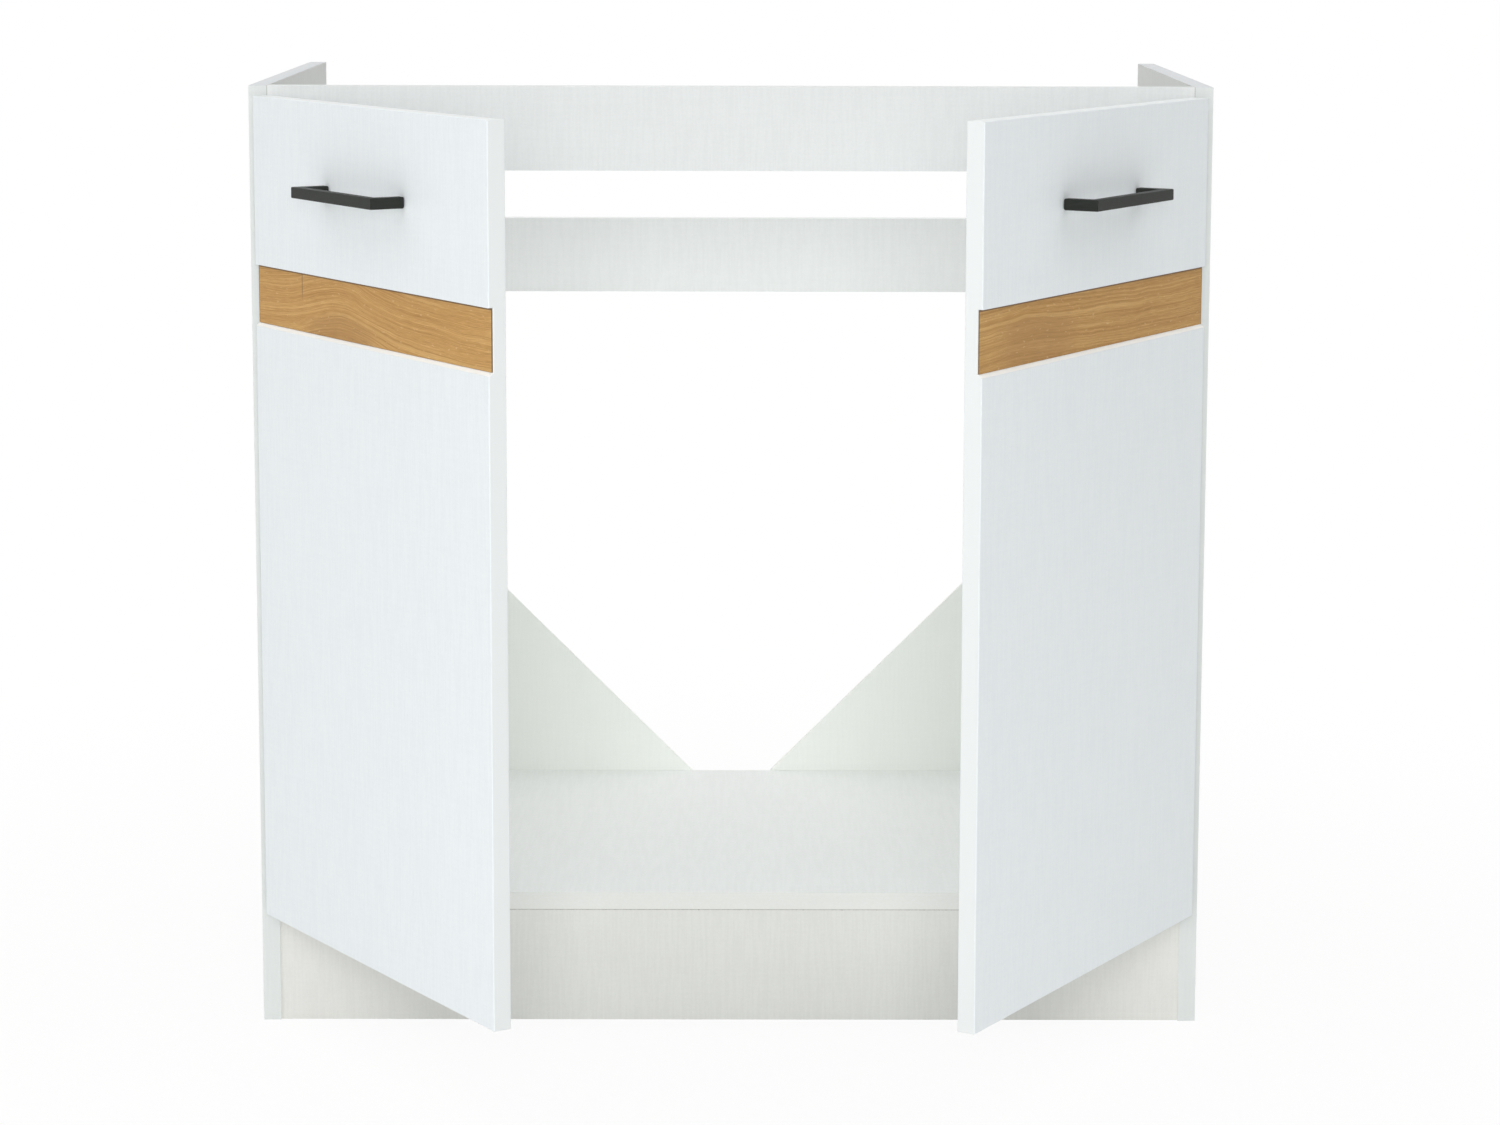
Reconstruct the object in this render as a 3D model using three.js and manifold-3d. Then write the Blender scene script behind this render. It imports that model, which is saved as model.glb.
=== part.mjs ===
// Sink base cabinet for a fitted kitchen: an open-topped carcass with two hinged doors.
//
// Millimetres, +Z up, the fronts face -Y. The origin is on the floor under the middle of the
// plinth. The two doors stand open, each on two concealed cup hinges. Everything that belongs
// to a door is drawn once for the left side, as distances inward from the side panel's outer
// face and back from the carcass front, and is mirrored for the right side.

import * as THREE from "three";
import { mergeVertices } from "three/addons/utils/BufferGeometryUtils.js";
import Module from "manifold-3d";

// ---- Driving dimensions of the carcass ----
const CABINET_WIDTH = 800;
const CABINET_HEIGHT = 800;
const CARCASS_DEPTH = 450;
const BOARD = 15;
const PLINTH_HEIGHT = 98;
const PLINTH_RECESS = 2;
const RAIL_HEIGHT = 70;
const REAR_RAIL_DROP = 146.5;
const GUSSET_THICKNESS = 3;
const GUSSET_LEG = 374;
const GUSSET_EDGE_MARGIN = 2;
const GUSSET_FOOT_MARGIN = 1;

// ---- Doors, closed position ----
const DOOR_TOP_DROP = 8;
const DOOR_OVER_PLINTH = 2;
const DOOR_THICKNESS = 15;
const DOOR_EDGE_GAP = 1.75;
const DOOR_MIDDLE_GAP = 3.5;
const DOOR_BACK_GAP = 2;
const DOOR_EASED_EDGE = 0.6;
const LEFT_DOOR_ANGLE = 57;
const RIGHT_DOOR_ANGLE = 58.5;

// ---- Oak strip across each door ----
const STRIP_HEIGHT = 48;
const STRIP_FROM_DOOR_TOP = 140;
const STRIP_THICKNESS = 0.8;
const STRIP_SET_BACK = 2.8;
const STRIP_LIP_BEVEL = 2.8;

// ---- Handle: a flat bar bent into a square U ----
const HANDLE_CENTRES = 128;
const HANDLE_STANDOFF = 30;
const HANDLE_BAR_DEPTH = 8;
const HANDLE_BAR_HEIGHT = 9;
const HANDLE_FROM_DOOR_TOP = 70;
const HANDLE_EDGE_BREAK = 0.5;
const HANDLE_SCREW_RADIUS = 2;
const HANDLE_SCREW_HEAD_RADIUS = 4;
const HANDLE_SCREW_HEAD = 2.4;
const HANDLE_SCREW_GRIP = 11;
const HANDLE_SCREW_SLOT = 1;
const HANDLE_SCREW_EDGE = 0.5;
const HANDLE_THREAD_SPARE = 1;

// ---- Concealed hinge ----
const HINGE_FROM_DOOR_END = 100;
const CUP_RADIUS = 17.5;
const CUP_DEPTH = 11.5;
const CUP_EDGE_DISTANCE = 3.5;
const CUP_WALL = 1;
const FLANGE_THICKNESS = 0.8;
const FLANGE_HEIGHT = 54;
const FLANGE_CORNER = 6;
const FLANGE_SCREW_INSET = 5;
const FLANGE_SCREW_RADIUS = 3.6;
const FLANGE_SCREW_HEAD = 0.5;
const FLANGE_SCREW_EDGE = 0.3;
const PIN_RADIUS = 1.3;
const OUTER_LINK_ARM_PIN = [31.4, 21.9];
const OUTER_LINK_CUP_PIN = [10, -4.5];
const INNER_LINK_ARM_PIN = [28.7, 3];
const OUTER_LINK_BENDS = [[21.6, -5.4], [12.8, -8.2]];
const INNER_LINK_BENDS = [[36.5, -5.2], [25.9, -10.6]];
const INNER_LINK_TIP = [17, -10];
const OUTER_LINK_HALF_WIDTH = 1.9;
const INNER_LINK_HALF_WIDTH = 1.1;
const LINK_SPAN = 9.4;
const LINK_GAP = 0.6;
const EYE_RADIUS = 2.4;
// The links turn against the door, by these shares of its opening angle.
const OUTER_LINK_SHARE = 1 / 3;
const INNER_LINK_SHARE = 0.29;
const ARM_WALL = 1.2;
const ARM_SPAN = 13;
const ARM_REAR = 66;
const ARM_TOP = 36;
const ARM_NOSE = 2.6;
const ARM_TOP_SLOPE = 6;
const ARM_TOP_FRONT = 4;
const ARM_TOP_REAR = 12;
const ARM_WEB_FRONT = 6;
const ARM_FOOT_FRONT = 14;
const ARM_THROAT = 7;
const PLATE_THICKNESS = 2;
const PLATE_SCREW_LINE = 37;
const PLATE_SCREW_SPACING = 32;
const PLATE_FRONT_REACH = 19;
const PLATE_PAST_ARM = 4;
const PLATE_HALF_HEIGHT = 8;
const PLATE_CORNER = 3;
const WING_PAST_SCREW = 8;
const WING_HALF_WIDTH = 7;
const RIDGE_HALF_HEIGHT = 4.4;
const RIDGE_RISE = 5;
const RIDGE_SET_BACK = 6;
const RIDGE_REAR_GAP = 2;
const PLATE_SCREW_HEAD_RADIUS = 4.2;
const PLATE_SCREW_HEAD = 1.6;
const PLATE_EASED_EDGE = 0.5;

// ---- Fastenings ----
const SCREW_HEAD_RADIUS = 5;
const SCREW_HEAD_DEPTH = 2;
const SCREW_SHANK_RADIUS = 3.5;
const SCREW_CORE_RADIUS = 2.5;
const SCREW_LENGTH = 50;
const SCREW_TIP = 3;
const HEX_SOCKET_RADIUS = 2.3;
const HEX_SOCKET_DEPTH = 3;
const DOWEL_RADIUS = 4;
const DOWEL_LENGTH = 30;
const DOWEL_IN_SIDE = 10;
const RAIL_FIXING_SPACING = 32;
const BOTTOM_SCREW_INSET = 60;
const BUMPER_RADIUS = 5;
const BUMPER_THICKNESS = 1.4;
const BUMPER_FROM_EDGE = 20;
const BUMPER_EASED_EDGE = 0.4;
const NAIL_HEAD_RADIUS = 3.2;
const NAIL_HEAD = 0.9;
const NAIL_SHANK_RADIUS = 0.9;
const NAIL_LENGTH = 22;
const NAIL_TIP = 2;
const NAILS_UP_THE_SIDE = 4;
const NAILS_ALONG_THE_BOTTOM = 3;
const NAIL_END_MARGIN = 40;

// ---- Clearances ----
const SEAT_GAP = 0.3;
const PIN_CLEARANCE = 0.3;
const DRILL_CLEARANCE = 0.12;
const GLUE_ROOM = 1;
const CUT_OVERRUN = 5;
const ROUND_SEGMENTS = 12;
const LARGE_ROUND_SEGMENTS = 32;
const NAIL_SEGMENTS = 8;
const LARGE_RADIUS = 10;
const ARC_SEGMENTS = 3;

// ---- Worked out from the above ----
const DOOR_WIDTH = (CABINET_WIDTH - 2 * DOOR_EDGE_GAP - DOOR_MIDDLE_GAP) / 2;
const DOOR_BACK = -DOOR_BACK_GAP;
const DOOR_FRONT = DOOR_BACK - DOOR_THICKNESS;
const CUP_CENTRE = DOOR_EDGE_GAP + CUP_EDGE_DISTANCE + CUP_RADIUS;
const INSIDE_WIDTH = CABINET_WIDTH - 2 * BOARD;
const FRONT_RAIL_BOTTOM = CABINET_HEIGHT - RAIL_HEIGHT;
const REAR_RAIL_BOTTOM = CABINET_HEIGHT - REAR_RAIL_DROP - RAIL_HEIGHT;
const PLINTH_MIDDLE = PLINTH_RECESS + BOARD / 2;
const DOOR_BOTTOM = PLINTH_HEIGHT - DOOR_OVER_PLINTH;
const DOOR_TOP = CABINET_HEIGHT - DOOR_TOP_DROP;
const STRIP_TOP = DOOR_TOP - STRIP_FROM_DOOR_TOP;
const STRIP_BOTTOM = STRIP_TOP - STRIP_HEIGHT;
const HANDLE_LEVEL = DOOR_TOP - HANDLE_FROM_DOOR_TOP;
const HINGE_LEVELS = {
  lower: DOOR_BOTTOM + HINGE_FROM_DOOR_END,
  upper: DOOR_TOP - HINGE_FROM_DOOR_END,
};

const wasm = await Module();
wasm.setup();

// ---- Finishes ----
function finish(colour, roughness, metalness) {
  return new THREE.MeshStandardMaterial({ color: colour, roughness, metalness });
}
const WHITE_BOARD = finish(0xe4e8e6, 0.45, 0);
const WHITE_BACKING = finish(0xdfe3df, 0.55, 0);
const DOOR_PAINT = finish(0xe9edef, 0.35, 0);
const OAK = finish(0xbd9a68, 0.5, 0);
const BLACK_METAL = finish(0x1d1e20, 0.42, 0.6);
const NICKEL = finish(0xb9b9b5, 0.3, 1);
const ZINC = finish(0xc3c6c8, 0.35, 1);
const BEECH = finish(0xd3b184, 0.6, 0);
const CLEAR_RUBBER = finish(0xd5d8d4, 0.5, 0);

// ---- Solids from three.js geometry ----
function solid(geometry) {
  const bare = geometry.clone();
  bare.deleteAttribute("normal");
  bare.deleteAttribute("uv");
  const merged = mergeVertices(bare, 1e-4);
  return new wasm.Manifold(
    new wasm.Mesh({
      numProp: 3,
      vertProperties: new Float32Array(merged.attributes.position.array),
      triVerts: new Uint32Array(merged.index.array),
    }),
  );
}

function surface(body) {
  const mesh = body.getMesh();
  const geometry = new THREE.BufferGeometry();
  geometry.setAttribute("position", new THREE.BufferAttribute(mesh.vertProperties, 3));
  geometry.setIndex(new THREE.BufferAttribute(mesh.triVerts, 1));
  const flat = geometry.toNonIndexed();
  flat.computeVertexNormals();
  return flat;
}

function named(name, body, material) {
  const mesh = new THREE.Mesh(surface(body), material);
  mesh.name = name;
  return mesh;
}

// An outline on the floor plan, drawn up from one height to another.
function plan(shape, bottom, top, bevel = 0) {
  const geometry = new THREE.ExtrudeGeometry(shape, {
    depth: top - bottom - 2 * bevel,
    bevelEnabled: bevel > 0,
    bevelThickness: bevel,
    bevelSize: bevel,
    bevelOffset: -bevel,
    bevelSegments: 1,
    curveSegments: ARC_SEGMENTS,
  });
  return geometry.translate(0, 0, bottom + bevel);
}

// An outline in the front view (across, up), drawn back from one depth to another.
function elevation(shape, front, back, bevel = 0) {
  const turn = new THREE.Matrix4().makeBasis(
    new THREE.Vector3(1, 0, 0),
    new THREE.Vector3(0, 0, 1),
    new THREE.Vector3(0, -1, 0),
  );
  return plan(shape, -back, -front, bevel).applyMatrix4(turn);
}

// An outline in the side view (back, up), drawn across from one place to another.
function section(shape, start, end, bevel = 0) {
  const turn = new THREE.Matrix4().makeBasis(
    new THREE.Vector3(0, 1, 0),
    new THREE.Vector3(0, 0, 1),
    new THREE.Vector3(1, 0, 0),
  );
  return plan(shape, start, end, bevel).applyMatrix4(turn);
}

function outline(points) {
  return new THREE.Shape(points.map(([u, v]) => new THREE.Vector2(u, v)));
}

function rectangle(left, bottom, right, top) {
  return outline([[left, bottom], [right, bottom], [right, top], [left, top]]);
}

function disc(x, y, radius) {
  const count = radius > LARGE_RADIUS ? LARGE_ROUND_SEGMENTS : ROUND_SEGMENTS;
  const points = [];
  for (let i = 0; i < count; i += 1) {
    const angle = (2 * Math.PI * i) / count;
    points.push([x + radius * Math.cos(angle), y + radius * Math.sin(angle)]);
  }
  return outline(points);
}

// A rectangle with round corners.
function rounded(left, bottom, right, top, radius) {
  const shape = new THREE.Shape();
  shape.absarc(right - radius, top - radius, radius, 0, Math.PI / 2, false);
  shape.absarc(left + radius, top - radius, radius, Math.PI / 2, Math.PI, false);
  shape.absarc(left + radius, bottom + radius, radius, Math.PI, 1.5 * Math.PI, false);
  shape.absarc(right - radius, bottom + radius, radius, 1.5 * Math.PI, 2 * Math.PI, false);
  shape.closePath();
  return shape;
}

// A bar with round ends between two points, as an outline.
function roundEnded([x0, y0], [x1, y1], halfWidth) {
  const along = Math.atan2(y1 - y0, x1 - x0);
  const shape = new THREE.Shape();
  shape.absarc(x1, y1, halfWidth, along - Math.PI / 2, along + Math.PI / 2, false);
  shape.absarc(x0, y0, halfWidth, along + Math.PI / 2, along + 1.5 * Math.PI, false);
  shape.closePath();
  return shape;
}

function joined(bodies) {
  return bodies.reduce((whole, body) => whole.add(body));
}

// A solid turned about the X axis from radius and distance pairs along it.
function turnedAlongX(profile) {
  const points = profile.map(([radius, along]) => new THREE.Vector2(radius, along));
  return new THREE.LatheGeometry(points, ROUND_SEGMENTS).rotateZ(-Math.PI / 2);
}

// ---- Carcass screw and dowel, head at 0, pointing along +X ----
function screwProfile(extra) {
  return [
    [0, 0],
    [SCREW_HEAD_RADIUS + extra, 0],
    [SCREW_SHANK_RADIUS + extra, SCREW_HEAD_DEPTH + extra],
    [SCREW_SHANK_RADIUS + extra, BOARD],
    [SCREW_CORE_RADIUS + extra, BOARD + extra],
    [SCREW_CORE_RADIUS + extra, SCREW_LENGTH - SCREW_TIP],
    [0, SCREW_LENGTH + extra],
  ];
}

function carcassScrew() {
  const socket = new THREE.CylinderGeometry(
    HEX_SOCKET_RADIUS, HEX_SOCKET_RADIUS, 2 * HEX_SOCKET_DEPTH, 6,
  ).rotateZ(Math.PI / 2);
  return surface(solid(turnedAlongX(screwProfile(0))).subtract(solid(socket)));
}

function dowel() {
  const inner = DOWEL_LENGTH - DOWEL_IN_SIDE;
  const ease = DOWEL_RADIUS / 4;
  return turnedAlongX([
    [0, -DOWEL_IN_SIDE],
    [DOWEL_RADIUS - ease, -DOWEL_IN_SIDE],
    [DOWEL_RADIUS, -DOWEL_IN_SIDE + ease],
    [DOWEL_RADIUS, inner - ease],
    [DOWEL_RADIUS - ease, inner],
    [0, inner],
  ]);
}

function dowelBore() {
  const radius = DOWEL_RADIUS + DRILL_CLEARANCE;
  const start = -DOWEL_IN_SIDE - GLUE_ROOM;
  const end = DOWEL_LENGTH - DOWEL_IN_SIDE + GLUE_ROOM;
  return turnedAlongX([[0, start], [radius, start], [radius, end], [0, end]]);
}

// ---- Nail of a gusset, one solid with it, pointing to -Y with the underside of its head at 0 ----
function nail() {
  const ease = NAIL_HEAD / 3;
  const points = [
    [0, -NAIL_LENGTH],
    [NAIL_SHANK_RADIUS, NAIL_TIP - NAIL_LENGTH],
    [NAIL_SHANK_RADIUS, 0],
    [NAIL_HEAD_RADIUS, 0],
    [NAIL_HEAD_RADIUS, ease],
    [NAIL_HEAD_RADIUS / 2, NAIL_HEAD],
    [0, NAIL_HEAD],
  ];
  return new THREE.LatheGeometry(points.map(([r, y]) => new THREE.Vector2(r, y)), NAIL_SEGMENTS);
}

function nailBore() {
  const radius = NAIL_SHANK_RADIUS + DRILL_CLEARANCE;
  const start = -NAIL_LENGTH - DRILL_CLEARANCE;
  const points = [[0, start], [radius, start], [radius, CUT_OVERRUN], [0, CUT_OVERRUN]];
  return new THREE.LatheGeometry(points.map(([r, y]) => new THREE.Vector2(r, y)), NAIL_SEGMENTS);
}

// Where the screws and dowels go: depth from the carcass front, and height.
const BOTTOM_PANEL_MIDDLE = PLINTH_HEIGHT + BOARD / 2;
const RAIL_SCREW_UP = (RAIL_HEIGHT - RAIL_FIXING_SPACING) / 2;
const SCREW_PLACES = {
  bottom_front: [BOTTOM_SCREW_INSET, BOTTOM_PANEL_MIDDLE],
  bottom_rear: [CARCASS_DEPTH - BOTTOM_SCREW_INSET, BOTTOM_PANEL_MIDDLE],
  front_rail: [BOARD / 2, FRONT_RAIL_BOTTOM + RAIL_SCREW_UP],
  rear_rail: [CARCASS_DEPTH - BOARD / 2, REAR_RAIL_BOTTOM + RAIL_SCREW_UP],
  plinth: [PLINTH_MIDDLE, PLINTH_HEIGHT / 2],
};
const DOWEL_PLACES = {
  front_rail: [BOARD / 2, FRONT_RAIL_BOTTOM + RAIL_SCREW_UP + RAIL_FIXING_SPACING],
  rear_rail: [CARCASS_DEPTH - BOARD / 2, REAR_RAIL_BOTTOM + RAIL_SCREW_UP + RAIL_FIXING_SPACING],
};

// Where one gusset's nails go: inward from the side's outer face, and height. They run up the
// side panel's rear edge and along the bottom panel's.
function nailPlaces() {
  const spread = GUSSET_LEG - 2 * NAIL_END_MARGIN;
  const upTheSide = Array.from({ length: NAILS_UP_THE_SIDE }, (_, i) => (
    [BOARD / 2, PLINTH_HEIGHT + NAIL_END_MARGIN + (spread * i) / (NAILS_UP_THE_SIDE - 1)]
  ));
  const alongTheBottom = Array.from({ length: NAILS_ALONG_THE_BOTTOM }, (_, i) => (
    [BOARD + NAIL_END_MARGIN + (spread * (i + 1)) / (NAILS_ALONG_THE_BOTTOM + 1), BOTTOM_PANEL_MIDDLE]
  ));
  return [...upTheSide, ...alongTheBottom];
}

// Every hole that the screws, dowels and nails need, on both sides, as one solid.
function fixingBores() {
  const bores = [];
  for (const side of [-1, 1]) {
    const outerFace = side * CABINET_WIDTH / 2;
    const turn = side < 0 ? 0 : Math.PI;
    for (const [y, z] of Object.values(SCREW_PLACES)) {
      bores.push(turnedAlongX(screwProfile(DRILL_CLEARANCE)).rotateZ(turn).translate(outerFace, y, z));
    }
    for (const [y, z] of Object.values(DOWEL_PLACES)) {
      bores.push(dowelBore().rotateZ(turn).translate(outerFace - side * BOARD, y, z));
    }
    for (const [x, z] of nailPlaces()) {
      bores.push(nailBore().translate(outerFace - side * x, CARCASS_DEPTH + GUSSET_THICKNESS, z));
    }
  }
  return joined(bores.map(solid));
}

// ---- Carcass ----
function carcass() {
  const group = new THREE.Group();
  const bores = fixingBores();
  const inside = INSIDE_WIDTH / 2;
  const board = (name, geometry) => {
    group.add(named(name, solid(geometry).subtract(bores), WHITE_BOARD));
  };

  const sideOutline = rectangle(0, 0, CARCASS_DEPTH, CABINET_HEIGHT);
  board("side_panel_left", section(sideOutline, -CABINET_WIDTH / 2, -inside));
  board("side_panel_right", section(sideOutline, inside, CABINET_WIDTH / 2));

  const bottomOutline = rectangle(-inside, 0, inside, CARCASS_DEPTH);
  board("bottom_panel", plan(bottomOutline, PLINTH_HEIGHT, PLINTH_HEIGHT + BOARD));

  const plinthOutline = rectangle(-inside, 0, inside, PLINTH_HEIGHT);
  board("plinth_board", elevation(plinthOutline, PLINTH_RECESS, PLINTH_RECESS + BOARD));

  const frontRail = rectangle(-inside, FRONT_RAIL_BOTTOM, inside, CABINET_HEIGHT);
  board("front_rail", elevation(frontRail, 0, BOARD));

  const rearRail = rectangle(-inside, REAR_RAIL_BOTTOM, inside, REAR_RAIL_BOTTOM + RAIL_HEIGHT);
  board("rear_rail", elevation(rearRail, CARCASS_DEPTH - BOARD, CARCASS_DEPTH));

  const corner = CABINET_WIDTH / 2 - GUSSET_EDGE_MARGIN;
  const foot = PLINTH_HEIGHT + GUSSET_FOOT_MARGIN;
  for (const [label, side] of [["left", -1], ["right", 1]]) {
    const triangle = [
      [side * corner, foot],
      [side * (corner - GUSSET_LEG), foot],
      [side * corner, foot + GUSSET_LEG],
    ];
    if (side < 0) triangle.reverse();
    const gusset = elevation(
      outline(triangle), CARCASS_DEPTH, CARCASS_DEPTH + GUSSET_THICKNESS,
    );
    const nails = nailPlaces().map(([x, z]) => (
      solid(nail().translate(side * (CABINET_WIDTH / 2 - x), CARCASS_DEPTH + GUSSET_THICKNESS, z))
    ));
    group.add(named(`back_gusset_${label}`, joined([solid(gusset), ...nails]), WHITE_BACKING));
  }

  for (const [label, side] of [["left", -1], ["right", 1]]) {
    const turn = side < 0 ? 0 : Math.PI;
    for (const [place, [y, z]] of Object.entries(SCREW_PLACES)) {
      const screw = new THREE.Mesh(carcassScrew(), ZINC);
      screw.name = `${place}_screw_${label}`;
      screw.position.set(side * CABINET_WIDTH / 2, y, z);
      screw.rotation.z = turn;
      group.add(screw);
    }
    for (const [place, [y, z]] of Object.entries(DOWEL_PLACES)) {
      const pin = new THREE.Mesh(dowel(), BEECH);
      pin.name = `${place}_dowel_${label}`;
      pin.position.set(side * inside, y, z);
      pin.rotation.z = turn;
      group.add(pin);
    }
  }
  return group;
}

// ---- Concealed hinge, drawn with the door closed and the hinge middle at height 0 ----
function hingePin([x, y], low, high) {
  return solid(plan(disc(x, y, PIN_RADIUS), low, high));
}

// The plate screwed to the side panel: a cross with a wing above and below the arm, and a ridge
// that the arm clips over.
function mountingPlate() {
  const front = PLATE_SCREW_LINE - PLATE_FRONT_REACH;
  const rear = ARM_REAR + PLATE_PAST_ARM;
  const wing = PLATE_SCREW_SPACING / 2 + WING_PAST_SCREW;
  const wingFront = PLATE_SCREW_LINE - WING_HALF_WIDTH;
  const wingRear = PLATE_SCREW_LINE + WING_HALF_WIDTH;
  const half = PLATE_HALF_HEIGHT;
  const corner = PLATE_CORNER;
  const upper = [
    [rear, half - corner], [rear - corner, half], [wingRear, half],
    [wingRear, wing - corner], [wingRear - corner, wing],
    [wingFront + corner, wing], [wingFront, wing - corner],
    [wingFront, half], [front + corner, half], [front, half - corner],
  ];
  const lower = upper.map(([y, z]) => [y, -z]).reverse();
  const ridge = rectangle(
    front + RIDGE_SET_BACK, -RIDGE_HALF_HEIGHT, ARM_REAR - RIDGE_REAR_GAP, RIDGE_HALF_HEIGHT,
  );
  const face = BOARD + PLATE_THICKNESS;
  const rooted = BOARD + PLATE_THICKNESS / 2;
  const heads = [-1, 1].map((end) => {
    const head = disc(PLATE_SCREW_LINE, end * PLATE_SCREW_SPACING / 2, PLATE_SCREW_HEAD_RADIUS);
    return solid(section(head, rooted, face + PLATE_SCREW_HEAD, PLATE_EASED_EDGE));
  });
  return joined([
    solid(section(outline([...upper, ...lower]), BOARD, face)),
    solid(section(ridge, rooted, face + RIDGE_RISE, PLATE_EASED_EDGE)),
    ...heads,
  ]);
}

// The arm: a channel that straddles the plate's ridge, open below the pins where the links move.
function hingeArm() {
  const half = ARM_SPAN / 2;
  const rearFoot = BOARD + PLATE_THICKNESS + SEAT_GAP;
  const [, outerY] = OUTER_LINK_ARM_PIN;
  const [innerX, innerY] = INNER_LINK_ARM_PIN;
  const slopeEnd = ARM_TOP - ARM_TOP_SLOPE;
  const wall = outline([
    [rearFoot, ARM_REAR],
    [rearFoot, outerY + ARM_FOOT_FRONT],
    [innerX - ARM_NOSE, innerY + ARM_THROAT],
    [innerX - ARM_NOSE, innerY],
    [innerX - ARM_NOSE / 2, innerY - ARM_NOSE],
    [innerX + ARM_NOSE / 2, innerY - ARM_NOSE],
    [innerX + ARM_NOSE, innerY],
    [ARM_TOP, outerY - ARM_TOP_FRONT],
    [ARM_TOP, outerY + ARM_TOP_REAR],
    [slopeEnd, ARM_REAR],
  ]);
  const web = outline([
    [ARM_TOP - ARM_WALL, outerY + ARM_WEB_FRONT],
    [ARM_TOP, outerY + ARM_WEB_FRONT],
    [ARM_TOP, outerY + ARM_TOP_REAR],
    [slopeEnd, ARM_REAR],
    [slopeEnd - ARM_WALL, ARM_REAR],
    [ARM_TOP - ARM_WALL, outerY + ARM_TOP_REAR],
  ]);
  return joined([
    solid(plan(wall, half - ARM_WALL, half)),
    solid(plan(wall, -half, ARM_WALL - half)),
    solid(plan(web, -half, half)),
    hingePin(OUTER_LINK_ARM_PIN, -half, half),
    hingePin(INNER_LINK_ARM_PIN, -half, -LINK_GAP / 2),
  ]);
}

// A link: a bent plate with an eye on its arm pin, in its own half of the space between the walls.
function bentLink(path, halfWidth, low, high, eyes) {
  const legs = path.slice(1).map((point, i) => (
    solid(plan(roundEnded(path[i], point, halfWidth), low, high))
  ));
  const rims = eyes.map(([x, y]) => solid(plan(disc(x, y, EYE_RADIUS), low, high)));
  const holes = eyes.map(([x, y]) => (
    solid(plan(disc(x, y, PIN_RADIUS + PIN_CLEARANCE), low - CUT_OVERRUN, high + CUT_OVERRUN))
  ));
  return joined([...legs, ...rims]).subtract(joined(holes));
}

// The outer link reaches round the side panel's corner when closed, and the cup's rim when open.
function outerLink() {
  const path = [OUTER_LINK_ARM_PIN, ...OUTER_LINK_BENDS, OUTER_LINK_CUP_PIN];
  const eyes = [OUTER_LINK_ARM_PIN, OUTER_LINK_CUP_PIN];
  return bentLink(path, OUTER_LINK_HALF_WIDTH, LINK_GAP / 2, LINK_SPAN / 2, eyes);
}

// The inner link's tip ends in the cup with room all round it.
function innerLink() {
  const path = [INNER_LINK_ARM_PIN, ...INNER_LINK_BENDS, INNER_LINK_TIP];
  return bentLink(path, INNER_LINK_HALF_WIDTH, -LINK_SPAN / 2, -LINK_GAP / 2, [INNER_LINK_ARM_PIN]);
}

// The cup let into the door, its flange on the door's back, and the pin for the outer link.
function hingeCup() {
  const flangeBack = DOOR_BACK + SEAT_GAP;
  const flangeTop = flangeBack + FLANGE_THICKNESS;
  const floor = DOOR_BACK - CUP_DEPTH;
  const outer = CUP_RADIUS - SEAT_GAP;
  const edge = CUP_CENTRE - CUP_RADIUS;
  const end = FLANGE_HEIGHT / 2;
  const flange = rounded(edge, -end, CUP_CENTRE + CUP_RADIUS, end, FLANGE_CORNER);
  const hollow = solid(elevation(disc(CUP_CENTRE, 0, outer - CUP_WALL), floor + CUP_WALL, CUT_OVERRUN));
  const body = solid(elevation(disc(CUP_CENTRE, 0, outer), floor, flangeTop));
  const heads = [-1, 1].map((way) => {
    const head = disc(CUP_CENTRE, way * (end - FLANGE_SCREW_INSET), FLANGE_SCREW_RADIUS);
    return solid(elevation(head, flangeBack, flangeTop + FLANGE_SCREW_HEAD, FLANGE_SCREW_EDGE));
  });
  return joined([body, solid(elevation(flange, flangeBack, flangeTop)), ...heads])
    .subtract(hollow)
    .add(hingePin(OUTER_LINK_CUP_PIN, LINK_GAP / 2, CUP_RADIUS).intersect(body));
}

// ---- Door, drawn closed ----
function doorPanel() {
  const lip = STRIP_BOTTOM - STRIP_LIP_BEVEL;
  const setBack = DOOR_FRONT + STRIP_SET_BACK;
  const floor = setBack + STRIP_THICKNESS + SEAT_GAP;
  const ease = DOOR_EASED_EDGE;
  const edge = outline([
    [DOOR_BACK, DOOR_BOTTOM],
    [DOOR_BACK, DOOR_TOP],
    [DOOR_FRONT + ease, DOOR_TOP],
    [DOOR_FRONT, DOOR_TOP - ease],
    [DOOR_FRONT, STRIP_TOP + SEAT_GAP],
    [floor, STRIP_TOP + SEAT_GAP],
    [floor, STRIP_BOTTOM - SEAT_GAP],
    [setBack, STRIP_BOTTOM - SEAT_GAP],
    [DOOR_FRONT, lip],
    [DOOR_FRONT, DOOR_BOTTOM + ease],
    [DOOR_FRONT + ease, DOOR_BOTTOM],
  ]);
  const panel = section(edge, DOOR_EDGE_GAP, DOOR_EDGE_GAP + DOOR_WIDTH, ease);
  const cupBores = Object.values(HINGE_LEVELS).map((z) => (
    solid(elevation(disc(CUP_CENTRE, z, CUP_RADIUS), DOOR_BACK - CUP_DEPTH - SEAT_GAP, CUT_OVERRUN))
  ));
  const screwHoles = handleLegs().map((x) => {
    const hole = disc(x, HANDLE_LEVEL, HANDLE_SCREW_RADIUS + SEAT_GAP);
    return solid(elevation(hole, DOOR_FRONT - CUT_OVERRUN, CUT_OVERRUN));
  });
  return solid(panel).subtract(joined([...cupBores, ...screwHoles]));
}

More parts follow.
